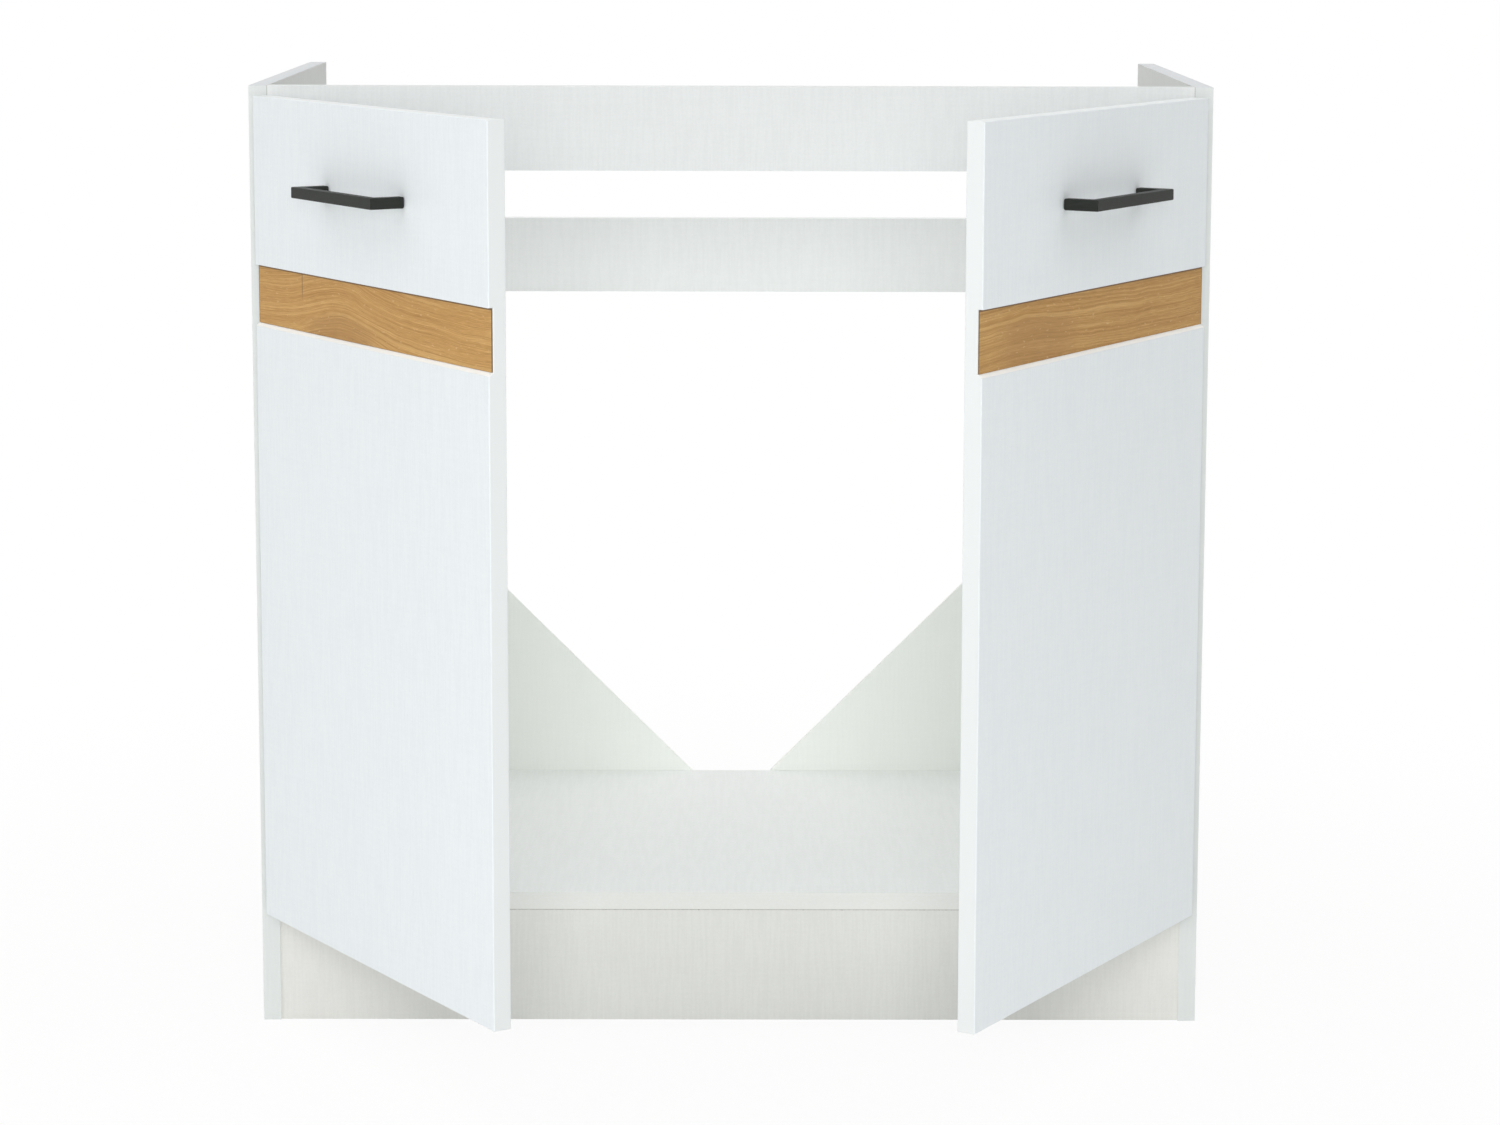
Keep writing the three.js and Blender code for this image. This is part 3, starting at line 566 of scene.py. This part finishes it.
# %% Colours and marks of the oak
RING_SHARE, BROAD_SHARE, FIBRE_SHARE = 0.5, 0.2, 0.3
OAK_LEVELS = (0.37, 0.47, 0.54, 0.64)
OAK_BROWNS = (
    (0.405, 0.207, 0.055),
    (0.515, 0.282, 0.088),
    (0.585, 0.337, 0.115),
    (0.710, 0.450, 0.180),
)
HEARTWOOD = ((0.365, 0.195, 0.072), 0.40)
PALE_LINE = ((0.76, 0.50, 0.20), 0.30)
PORES = ((0.235, 0.130, 0.055), 0.45)
FLECKS = ((0.80, 0.58, 0.33), 0.32)
CHECK = ((0.22, 0.13, 0.06), 0.70)
# painted shade: the dark line where the edge of the groove shades the strip
GROOVE_SHADE_MARK = ((0.130, 0.080, 0.048), 0.85)
HEART_EDGE, HEART_ENDS = (-3 * MM, 4 * MM), (0.35, 0.85)
PALE_LINE_HALF, PALE_LINE_STARTS = 1.8 * MM, (80 * MM, 160 * MM)
PORE_LEVELS, FLECK_LEVELS = (0.60, 0.70), (0.66, 0.76)
CHECK_HALF, CHECK_STARTS = 1.2 * MM, (24 * MM, 34 * MM)
TOP_SHADE_REACH = (1.9 * MM, 0.9 * MM)
END_SHADE_REACH = (1.5 * MM, 0.7 * MM)
OAK_ROUGHNESS, RINGS_DULL = 0.46, 0.16


def marked(recipe, wood, mark, mask):
    colour, strength = mark
    return recipe.blended(wood, colour, mask * strength)


def check_mark(recipe, u, v, check_at, seed):
    jitter = (recipe.noise(recipe.point(v * 300, seed, 0), detail=1) - 0.5) * MM
    across = u - check_at + jitter
    return recipe.fade(across * across, CHECK_HALF**2, 0.0) * recipe.fade(v, *CHECK_STARTS)


# Painted shade along the top edge and both ends of the strip, where the groove shades it.
def groove_shade_lines(recipe, u, v, length, height):
    painted_shade = recipe.fade(height - v, *TOP_SHADE_REACH)
    for from_end in (u, length - u):
        painted_shade = painted_shade + recipe.fade(from_end, *END_SHADE_REACH)
    return recipe.fade(painted_shade, 0.0, 1.0)


print(len(OAK_BROWNS), "browns; pores cover", PORES[1], "and flecks", FLECKS[1])

# %% [markdown]
# Now the strip itself. `heart` is where the arch stands, along and up the strip, and `arch_height`
# how far it rises; `pitch` is how often the lines change in a metre across the grain; `shade`
# darkens all the browns. The seed picks another stretch of the same noises, so that the two strips
# are different pieces of wood.


# %% Oak strips
def oak(name, side, heart, arch_height, seed, shade, pitch, check_at=None):
    material, recipe = new_finish(name)
    u, v, length, height = strip_distances(recipe, side)
    arch, bent = arched(recipe, u, v, heart, arch_height, seed)
    rings = grain_lines(recipe, u, bent, (RINGS_ALONG, pitch), seed, detail=3, roughness=0.65)
    broad = grain_lines(recipe, u, bent, BROAD_LINES, seed + 3, detail=2)
    fibres = grain_lines(recipe, u, bent, FIBRE_LINES, seed + 5, detail=2)
    pores = grain_lines(recipe, u, bent, PORE_LINES, seed + 7, detail=3, roughness=0.6)
    flecks = grain_lines(recipe, u, v, FLECK_LINES, seed + 9, detail=1)
    stops = [(at, tuple(c * shade for c in brown)) for at, brown in zip(OAK_LEVELS, OAK_BROWNS)]
    tone = rings * RING_SHARE + broad * BROAD_SHARE + fibres * FIBRE_SHARE
    wood = recipe.node("ShaderNodeValToRGB", {"stops": stops}, {"Fac": tone})
    below_arch = recipe.fade(bent * -1, *HEART_EDGE)
    wood = marked(recipe, wood, HEARTWOOD, below_arch * recipe.fade(arch, *HEART_ENDS))
    on_arch = recipe.fade(bent * bent, PALE_LINE_HALF**2, 0.0)
    wood = marked(recipe, wood, PALE_LINE, on_arch * recipe.fade(u, *PALE_LINE_STARTS))
    pore = recipe.fade(pores, *PORE_LEVELS)
    wood = marked(recipe, wood, PORES, pore)
    wood = marked(recipe, wood, FLECKS, recipe.fade(flecks, *FLECK_LEVELS))
    if check_at is not None:
        wood = marked(recipe, wood, CHECK, check_mark(recipe, u, v, check_at, seed))
    # painted shade from the groove along the top edge and the ends
    wood = marked(recipe, wood, GROOVE_SHADE_MARK, groove_shade_lines(recipe, u, v, length, height))
    finished(
        recipe,
        {
            "Base Color": wood,
            "Roughness": OAK_ROUGHNESS + rings * RINGS_DULL,
            "Specular IOR Level": 0.25,
            "Normal": recipe.bump(rings * 0.4 + fibres * 0.3 - pore * 0.6, 0.10 * MM, 0.6),
        },
    )
    print(name, "is", round(length / MM), "mm long")
    return material


oak_finish = {
    "left": oak(
        "left_oak",
        "left",
        heart=(150 * MM, 2 * MM),
        arch_height=17 * MM,
        seed=2.0,
        shade=1.0,
        pitch=900,
        check_at=81 * MM,
    ),
    "right": oak(
        "right_oak",
        "right",
        heart=(300 * MM, 30 * MM),
        arch_height=6 * MM,
        seed=21.0,
        shade=0.93,
        pitch=620,
    ),
}

# %% [markdown]
# The handles are flat steel bars under a charcoal powder coat. Powder coat is never quite smooth:
# it has a fine pebble that breaks up highlights, and it varies a shade in cloudy patches. A dark
# grey with a bumpy, half-matt surface reads as black but keeps its form.

# %% Powder coat for the handles
CHARCOALS = ((0.014, 0.016, 0.013), (0.026, 0.029, 0.025))
COAT_ROUGHNESS, PEBBLE_DULLS = 0.42, 0.2


def powder_coat(name):
    material, recipe = new_finish(name)
    place = recipe.place()
    pebble = recipe.noise(place, scale=1500.0, detail=2)
    mottle = recipe.noise(place, scale=120.0, detail=3)
    finished(
        recipe,
        {
            "Base Color": recipe.blended(*CHARCOALS, mottle),
            "Roughness": COAT_ROUGHNESS + pebble * PEBBLE_DULLS,
            "Specular IOR Level": 0.22,
            "Normal": recipe.bump(pebble, 0.05 * MM, 0.7),
        },
    )
    return material


handle_black = powder_coat("handle_powder_coat")
print(handle_black.name, "has", len(handle_black.node_tree.nodes), "nodes")

# %% [markdown]
# Hinges are pressed from sheet steel and nickel plated; screws are zinc plated, a little bluer and
# duller. Both are metals, so their colour is what they reflect. Long thin scratches from the press
# vary the gloss, and a soft cloud of tarnish varies the colour. On the hinges the scratches run
# level, the way the strip of steel went through the press.

# %% Plated steel
NICKELS = ((0.66, 0.65, 0.61), (0.50, 0.49, 0.46))
ZINCS = ((0.60, 0.63, 0.66), (0.42, 0.44, 0.47))


def plated(name, bright_and_dull, scratches_per_metre, roughness):
    material, recipe = new_finish(name)
    place = recipe.place()
    brushed = recipe.noise(place * scratches_per_metre, detail=3)
    tarnish = recipe.noise(place, scale=60.0, detail=3)
    finished(
        recipe,
        {
            "Base Color": recipe.blended(*bright_and_dull, recipe.fade(tarnish, 0.35, 0.75)),
            "Metallic": 1.0,
            "Roughness": roughness + brushed * 0.2,
            "Normal": recipe.bump(brushed, 0.03 * MM, 0.25),
        },
    )
    return material


nickel = plated("hinge_nickel", NICKELS, (300, 300, 2500), roughness=0.20)
zinc = plated("screw_zinc", ZINCS, (1200, 300, 300), roughness=0.26)
print("plated:", nickel.name, "and", zinc.name)

# %% [markdown]
# Two small things remain. The dowels are fluted beech, pale with short brown dashes, and the door
# bumpers are clear soft rubber that looks greyish-white on a white door.

# %% Beech dowels and rubber bumpers
BEECHES = ((0.62, 0.43, 0.26), (0.42, 0.26, 0.13))
RUBBERS = ((0.56, 0.60, 0.59), (0.70, 0.73, 0.71))


def beech(name):
    material, recipe = new_finish(name)
    dashes = recipe.noise(recipe.place() * (150, 1500, 1500), detail=2)
    wood = recipe.blended(*BEECHES, recipe.fade(dashes, 0.5, 0.72))
    finished(
        recipe,
        {"Base Color": wood, "Roughness": 0.6, "Normal": recipe.bump(dashes, 0.1 * MM, 0.5)},
    )
    return material


def clear_rubber(name):
    material, recipe = new_finish(name)
    haze = recipe.noise(recipe.place(), scale=400.0, detail=2)
    finished(
        recipe,
        {
            "Base Color": recipe.blended(*RUBBERS, haze),
            "Roughness": 0.30 + haze * 0.2,
            "Normal": recipe.bump(haze, 0.04 * MM, 0.4),
        },
    )
    return material


dowel_beech = beech("dowel_beech")
bumper_rubber = clear_rubber("bumper_rubber")
print("small finishes:", dowel_beech.name, "and", bumper_rubber.name)

# %% [markdown]
# Now each piece gets its finish. The names of the pieces say what they are, so a short list of
# words is enough. The first word that fits decides: a rail's screw is a screw, not a rail. What
# fits no word belongs to a hinge. Doors and oak strips have a finish for each side.

# %% Dress the cabinet
FINISHES = [
    ("_screw_", zinc),
    ("_dowel_", dowel_beech),
    ("_oak_strip", oak_finish),
    ("_handle", handle_black),
    ("_door", door_paint),
    ("_bumper", bumper_rubber),
    ("side_panel", side_board),
    ("bottom_panel", bottom_board),
    ("plinth_board", plinth_finish),
    ("front_rail", front_rail_board),
    ("rear_rail", rear_rail_board),
    ("back_gusset", backing),
]


def finish_for(name):
    for word, finish in FINISHES:
        if word in name:
            return finish[name.split("_")[0]] if isinstance(finish, dict) else finish
    return nickel


for name, piece in nodes.items():
    for slot in piece.material_slots:
        slot.material = finish_for(name)
print("finishes in use:", sorted({p.material_slots[0].material.name for p in nodes.values()}))

# %% [markdown]
# Small fittings are what a quick copy leaves out. The handles, the bumpers and the heads of the
# hinge screws are made here, finer than the model needs them. To place them on an open door we use
# the door's own directions: along it from the hinge, and out of its front. Any point of the door is
# then a distance from the hinge edge, a distance from its back and a height.


# %% Measuring along a direction
def span(points, direction):
    reaches = [p.dot(direction) for p in points]
    return min(reaches), max(reaches)


def node_points(name):
    return [vertex.co for vertex in nodes[name].data.vertices]


# %% [markdown]
# Each fitting is a skin stretched over rings of points, so two helpers are enough: one joins the
# rings with faces, and one turns the result into a piece that rides on its body. Edges sharper than
# 35 degrees stay crisp, and all others are shaded smooth.

# %% Rings into pieces
CRISP_ABOVE = math.radians(35)


def skin(shape, rings):
    for ring, following in zip(rings, rings[1:]):
        for i in range(len(ring)):
            j = (i + 1) % len(ring)
            shape.faces.new((ring[i], ring[j], following[j], following[i]))


def fitted_piece(name, shape, finish, body, stands_for=None):
    bmesh.ops.recalc_face_normals(shape, faces=shape.faces)
    mesh = bpy.data.meshes.new(name)
    shape.to_mesh(mesh)
    shape.free()
    mesh.shade_smooth()
    mesh.set_sharp_from_angle(angle=CRISP_ABOVE)
    mesh.materials.append(finish)
    piece = bpy.data.objects.new(name, mesh)
    bpy.context.scene.collection.objects.link(piece)
    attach(piece, body)
    if stands_for:
        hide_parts(stands_for)
    print(name, "has", len(mesh.polygons), "faces")


# %% [markdown]
# The handle is a square bar with mitred corners. Its long edges are rounded by almost a millimetre,
# which is what draws the thin light lines along them, and its feet are rounded where they meet the
# door. We sweep a rounded section up one leg, along the bar and down the other leg. At a mitre the
# section is stretched along the line that halves the corner.

# %% The rounded section of a bar
BAR_HALF = 4 * MM
BAR_ROUNDING = 0.9 * MM
FOOT_ROUNDING = 1.4 * MM
FOOT_DEGREES = (90, 60, 30, 0)
CORNERS = ((1, 1), (-1, 1), (-1, -1), (1, -1))


def bar_section(half_wide, half_tall, radius, steps=3):
    points = []
    for corner, (side, end) in enumerate(CORNERS):
        for step in range(steps + 1):
            turn = math.radians(90 * (corner + step / steps))
            wide = side * (half_wide - radius) + radius * math.cos(turn)
            tall = end * (half_tall - radius) + radius * math.sin(turn)
            points.append((wide, tall))
    return points


def foot_steps(foot):
    """Where each ring of a rounded foot lies above the door, and how far it is drawn in."""
    turns = [math.radians(degrees) for degrees in FOOT_DEGREES]
    return [
        (foot + FOOT_ROUNDING * (1 - math.sin(turn)), FOOT_ROUNDING * (1 - math.cos(turn)))
        for turn in turns
    ]


print("a ring has", len(bar_section(BAR_HALF, BAR_HALF, BAR_ROUNDING)), "points")

# %% [markdown]
# A ring is placed by how far it is along the door and how far out of it. The drawn-in rings of the
# feet come first and last. Between them two rings, stretched both along and out, make the mitres.


# %% The bar handles
def bar_handle(side):
    name = f"{side}_handle"
    along, out, points = from_hinge[side], faced[side], node_points(name)
    (first, last), (foot, face) = span(points, along), span(points, out)
    low, high = span(points, UP)
    shape = bmesh.new()

    def ring(a, o, across, inset=0.0):
        section = bar_section(BAR_HALF - inset, (high - low) / 2 - inset, BAR_ROUNDING)
        middle = along * a + out * o + UP * ((low + high) / 2)
        turned = along * across[0] + out * across[1]
        return [shape.verts.new(middle + turned * w + UP * t) for w, t in section]

    bar_line = face - BAR_HALF
    rings = [ring(first + BAR_HALF, o, (-1, 0), inset) for o, inset in foot_steps(foot)]
    rings.append(ring(first + BAR_HALF, bar_line, (-1, 1)))
    rings.append(ring(last - BAR_HALF, bar_line, (1, 1)))
    rings += [ring(last - BAR_HALF, o, (1, 0), inset) for o, inset in reversed(foot_steps(foot))]
    skin(shape, rings)
    for end in (rings[0], rings[-1]):
        shape.faces.new(end)
    fitted_piece(f"{side}_bar", shape, handle_black, f"{side}_leaf", name)


for side in faced:
    bar_handle(side)

# %% [markdown]
# A door bumper is a little dome of clear rubber, stuck on the back of the door so that it closes
# without a bang. A dome is a stack of rings that shrink towards the top, as the sine and cosine of
# the same angle say.

# %% Domed bumpers
DOME_DEGREES = (0, 15, 30, 45, 60, 75)


def circle(shape, middle, right, up, radius, segments=24):
    turns = [2 * math.pi * i / segments for i in range(segments)]
    return [
        shape.verts.new(middle + (right * math.cos(t) + up * math.sin(t)) * radius) for t in turns
    ]


def bumper_dome(side, end):
    name = f"{side}_{end}_bumper"
    along, out, points = from_hinge[side], faced[side], node_points(name)
    (first, last), (tip, seat) = span(points, along), span(points, out)
    low, high = span(points, UP)
    middle = along * (first + last) / 2 + UP * ((low + high) / 2)
    shape = bmesh.new()
    rings = []
    for degrees in DOME_DEGREES:
        turn = math.radians(degrees)
        level = seat + (tip - seat) * math.sin(turn)
        reach = (last - first) / 2 * math.cos(turn)
        rings.append(circle(shape, middle + out * level, along, UP, reach))
    skin(shape, rings)
    for end_ring in (rings[0], rings[-1]):
        shape.faces.new(end_ring)
    leaf = f"{side}_leaf"
    fitted_piece(f"{side}_{end}_dome", shape, bumper_rubber, leaf, name)


for side in faced:
    for end in ("upper", "lower"):
        bumper_dome(side, end)

# %% [markdown]
# A concealed hinge shows its screws as soon as the door is open: two hold the plate on the side
# panel, two hold the cup in the door, and two on the arm adjust it. All have a cross recess. The
# head is a short turned shape; the recess is a plus sign cut out of its flat top, with walls that
# lean in towards a smaller plus at the bottom. The flat between the rim and the plus is filled with
# triangles, because it has a hole in it. All sizes are shares of the head's radius and height.

# %% A cross-head screw
HEAD_SIDES = 20
HEAD_RIMS = [(1.0, 0.0), (1.0, 0.45), (0.93, 0.80), (0.80, 1.0)]
MOUTH_ARM, MOUTH_HALF = 0.58, 0.13
FLOOR_ARM, FLOOR_HALF, FLOOR_LEVEL = 0.36, 0.09, 0.25
QUARTER_TURNS = ((1, 0), (0, 1), (-1, 0), (0, -1))


def plus_outline(arm, half):
    quarter = [(arm, -half), (arm, half), (half, half)]
    return [(x * c - y * s, x * s + y * c) for c, s in QUARTER_TURNS for x, y in quarter]


def cross_head(shape, middle, out, radius, height):
    right = UP.cross(out).normalized()

    def plus(arm, half, level):
        outline = plus_outline(radius * arm, radius * half)
        return [shape.verts.new(middle + right * x + UP * y + out * level) for x, y in outline]

    rings = [
        circle(shape, middle + out * height * level, right, UP, radius * reach, HEAD_SIDES)
        for reach, level in HEAD_RIMS
    ]
    skin(shape, rings)
    mouth = plus(MOUTH_ARM, MOUTH_HALF, height)
    floor = plus(FLOOR_ARM, FLOOR_HALF, height * FLOOR_LEVEL)
    skin(shape, [mouth, floor])
    for end in (rings[0], floor):
        shape.faces.new(end)
    loops = [rings[-1], mouth]
    edges = [shape.edges.get((loop[i - 1], loop[i])) for loop in loops for i in range(len(loop))]
    bmesh.ops.triangle_fill(shape, use_beauty=True, edges=edges)


# %% [markdown]
# The places follow from the hinge itself. On the carcass we count from the outer face of the side
# panel and from the front edge; on the door from the hinge edge and from its back. One of the two
# screws on the arm sits on a slope, so it leans. Both are sunk a little, to leave no gap under the
# head.

# %% Places and sizes of the hinge screws
HALF_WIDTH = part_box("side_panel_right")[1].x
FRONT_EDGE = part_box("side_panel_right")[0].y
PLATE_FACE, PLATE_LINE, PLATE_SPREAD = 17.0 * MM, 37 * MM, 16 * MM
ARM_FACE, ARM_SCREW = 36 * MM, 31 * MM
SLOPE_FACE, SLOPE_SCREW, SLOPE_LEAN = 32.65 * MM, 52 * MM, math.radians(10.6)
CUP_LINE, CUP_FACE, CUP_SPREAD = 21 * MM, 1.1 * MM, 22 * MM
SUNK = 0.2 * MM
PLATE_HEAD = (4.4 * MM, 2.0 * MM)
ARM_HEAD = (2.7 * MM, 1.2 * MM)
SLOPE_HEAD = (3.4 * MM, 1.4 * MM)
CUP_HEAD = (3.8 * MM, 0.9 * MM)


def hinge_level(side, end):
    low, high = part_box(f"{side}_{end}_hinge_arm")
    return (low.z + high.z) / 2


for end in ("upper", "lower"):
    print(end, "left hinge at", round(hinge_level("left", end) / MM), "mm")

# %% [markdown]
# With the numbers named, placing is short. The right hinges are the left ones mirrored, so one sign
# turns the places on the carcass round; on the doors their own directions do it.


# %% Screws on plates, arms and cups
def carcass_screws(side, end):
    way = 1 if side == "left" else -1
    level = hinge_level(side, end)
    inward = RIGHT * way
    leaning = Vector((way * math.cos(SLOPE_LEAN), math.sin(SLOPE_LEAN), 0))
    shape = bmesh.new()

    def spot(from_side, from_front, up=0.0):
        return Vector((way * (from_side - HALF_WIDTH), FRONT_EDGE + from_front, level + up))

    for up in (-PLATE_SPREAD, PLATE_SPREAD):
        cross_head(shape, spot(PLATE_FACE, PLATE_LINE, up), inward, *PLATE_HEAD)
    cross_head(shape, spot(ARM_FACE - SUNK, ARM_SCREW), inward, *ARM_HEAD)
    cross_head(shape, spot(SLOPE_FACE - SUNK, SLOPE_SCREW), leaning, *SLOPE_HEAD)
    fitted_piece(f"{side}_{end}_plate_screws", shape, zinc, "carcass")


def cup_screws(side, end):
    along, out, points = from_hinge[side], faced[side], node_points(f"{side}_door")
    hinge_edge = span(points, along)[0] * along + span(points, out)[0] * out
    level = hinge_level(side, end)
    shape = bmesh.new()
    for up in (-CUP_SPREAD, CUP_SPREAD):
        middle = hinge_edge + along * CUP_LINE - out * CUP_FACE + UP * (level + up)
        cross_head(shape, middle, -out, *CUP_HEAD)
    fitted_piece(f"{side}_{end}_cup_screws", shape, zinc, f"{side}_leaf")


for side in faced:
    for end in ("upper", "lower"):
        carcass_screws(side, end)
        cup_screws(side, end)

# %% [markdown]
# The studio: a white paper floor and white all round. The background has to be white without
# throwing more light on the cabinet. So a plain white is shown to the camera, to gloss and to
# whatever looks through glass, while all other light meets paper or a softly lit room.


# %% What sees the plain white
def seen_directly(recipe):
    camera, gloss, glass = (
        recipe.node("ShaderNodeLightPath", output=ray)
        for ray in ("Is Camera Ray", "Is Glossy Ray", "Is Transmission Ray")
    )
    return recipe.node("ShaderNodeClamp", {}, {"Value": camera + gloss + glass})


# %% [markdown]
# The floor is a wide sheet of paper with a faint fibre. Near the cabinet a tenth of real paper is
# kept in what the camera sees, which leaves a faint shadow on the floor. Further out it fades into
# the plain white, so the floor has no edge.

# %% Paper floor
FLOOR_HALF, FLOOR_SQUARES = 9.0, 8
PAPER_SHOWN = 0.10
PAPER_NEAR, PAPER_FAR = 0.6, 1.6
PAPERS = ((0.86, 0.86, 0.85), (0.90, 0.90, 0.89))
WHITE = (1, 1, 1)


def floor_paper():
    material, recipe = new_finish("floor_paper")
    place = recipe.place()
    colour = recipe.blended(*PAPERS, recipe.noise(place, scale=90.0, detail=3))
    paper = recipe.node("ShaderNodeBsdfDiffuse", {}, {"Color": colour})
    white = recipe.node("ShaderNodeEmission", {}, {"Color": (*WHITE, 1), "Strength": 1.0})
    reach = recipe.node("ShaderNodeVectorMath", {"operation": "LENGTH"}, {0: place}, "Value")
    nearby = 1 - recipe.fade(reach, PAPER_NEAR, PAPER_FAR)
    share = seen_directly(recipe) * (1 - nearby * PAPER_SHOWN)
    both = recipe.node("ShaderNodeMixShader", {}, {0: share, 1: paper, 2: white})
    recipe.node("ShaderNodeOutputMaterial", {}, {"Surface": both})
    return material


def paper_floor():
    mesh = bpy.data.meshes.new("paper_floor")
    shape = bmesh.new()
    bmesh.ops.create_grid(
        shape, x_segments=FLOOR_SQUARES, y_segments=FLOOR_SQUARES, size=FLOOR_HALF
    )
    shape.to_mesh(mesh)
    shape.free()
    mesh.materials.append(floor_paper())
    floor = bpy.data.objects.new("paper_floor", mesh)
    bpy.context.scene.collection.objects.link(floor)


paper_floor()
print("floor is", 2 * FLOOR_HALF, "m wide; paper shown:", PAPER_SHOWN)

# %% [markdown]
# The room is the colour of the world. It is dark at the horizon and glows overhead, as a studio
# with a white ceiling does, so the boards are lit softly from above and again from the floor.

# %% White room
CEILING = 1.25
CEILING_STARTS, CEILING_FULL = 0.2, 0.8


def white_room():
    world = bpy.data.worlds.new("white_room")
    bpy.context.scene.world = world
    world.use_nodes = True
    recipe = Recipe(world.node_tree)
    up = recipe.along(recipe.node("ShaderNodeTexCoord", output="Generated"), UP)
    overhead = recipe.fade(up, CEILING_STARTS, CEILING_FULL)
    glow = recipe.blended((0, 0, 0), (CEILING,) * 3, overhead)
    colour = recipe.blended(glow, WHITE, seen_directly(recipe))
    light = recipe.node("ShaderNodeBackground", {}, {"Color": colour, "Strength": 1.0})
    recipe.node("ShaderNodeOutputWorld", {}, {"Surface": light})


white_room()
print("ceiling glows with", CEILING)

# %% [markdown]
# Most of the light comes from a white ceiling and is thrown back by the floor, so the two open
# doors are nearly as bright as the boards that face us, and the inside is only a little darker. A
# soft box on the left makes the left door the brighter one. Another, just behind the camera and
# above it, reaches over the doors to the front rail, and between them to the triangles at the
# back. Each is aimed at the middle of the cabinet, and its power is worked out from how bright it
# should make white paper at that distance.

# %% Soft boxes
MIDDLE = Vector((0, 0, 0.4))


def soft_box(name, place, size, brightness):
    towards = MIDDLE - Vector(place)
    lamp = bpy.data.lights.new(name, "AREA")
    lamp.shape = "RECTANGLE"
    lamp.size, lamp.size_y = size
    lamp.energy = brightness * math.pi**2 * towards.length**2
    box = bpy.data.objects.new(name, lamp)
    bpy.context.scene.collection.objects.link(box)
    box.location = place
    box.rotation_mode = "QUATERNION"
    box.rotation_quaternion = towards.to_track_quat("-Z", "Y")
    print(name, "power", round(lamp.energy, 1), "W")


soft_box("left_soft_box", (-3.4, -3.0, 1.6), (2.0, 2.0), brightness=0.105)
soft_box("front_soft_box", (0.0, -3.4, 1.2), (1.1, 1.1), brightness=0.285)

# %% [markdown]
# The camera looks slightly down from a little over three metres away, with a long lens. A product
# photographer would keep the lens level and slide it down, so that upright edges stay upright. Here
# the camera leans and slides only a little, because a large slide would push the cabinet out of
# every other view. Place, lean and lens were fitted to the edges of the boards together.

# %% Camera
CAMERA_PLACE = (0.0070, -3.0953, 0.9537)
CAMERA_LEAN = -8.329
CAMERA_TURN = -0.174
CAMERA_ROLL = 0.137
PICTURE_WIDTH = 1500
FOCAL_PIXELS = 3712.0
SENSOR_WIDTH = 36
LENS_SLIDE = -0.08

lens = bpy.data.cameras.new("camera")
lens.sensor_fit = "HORIZONTAL"
lens.sensor_width = SENSOR_WIDTH
lens.lens = FOCAL_PIXELS * SENSOR_WIDTH / PICTURE_WIDTH
lens.shift_y = LENS_SLIDE
lens.dof.use_dof = False
camera = bpy.data.objects.new("camera", lens)
bpy.context.scene.collection.objects.link(camera)
camera.matrix_world = (
    Matrix.Translation(CAMERA_PLACE)
    @ Matrix.Rotation(math.radians(CAMERA_TURN), 4, "Z")
    @ Matrix.Rotation(math.radians(90 + CAMERA_LEAN), 4, "X")
    @ Matrix.Rotation(math.radians(CAMERA_ROLL), 4, "Z")
)
bpy.context.scene.camera = camera
bpy.context.scene.view_settings.view_transform = "Standard"
print("lens", round(lens.lens, 1), "mm")
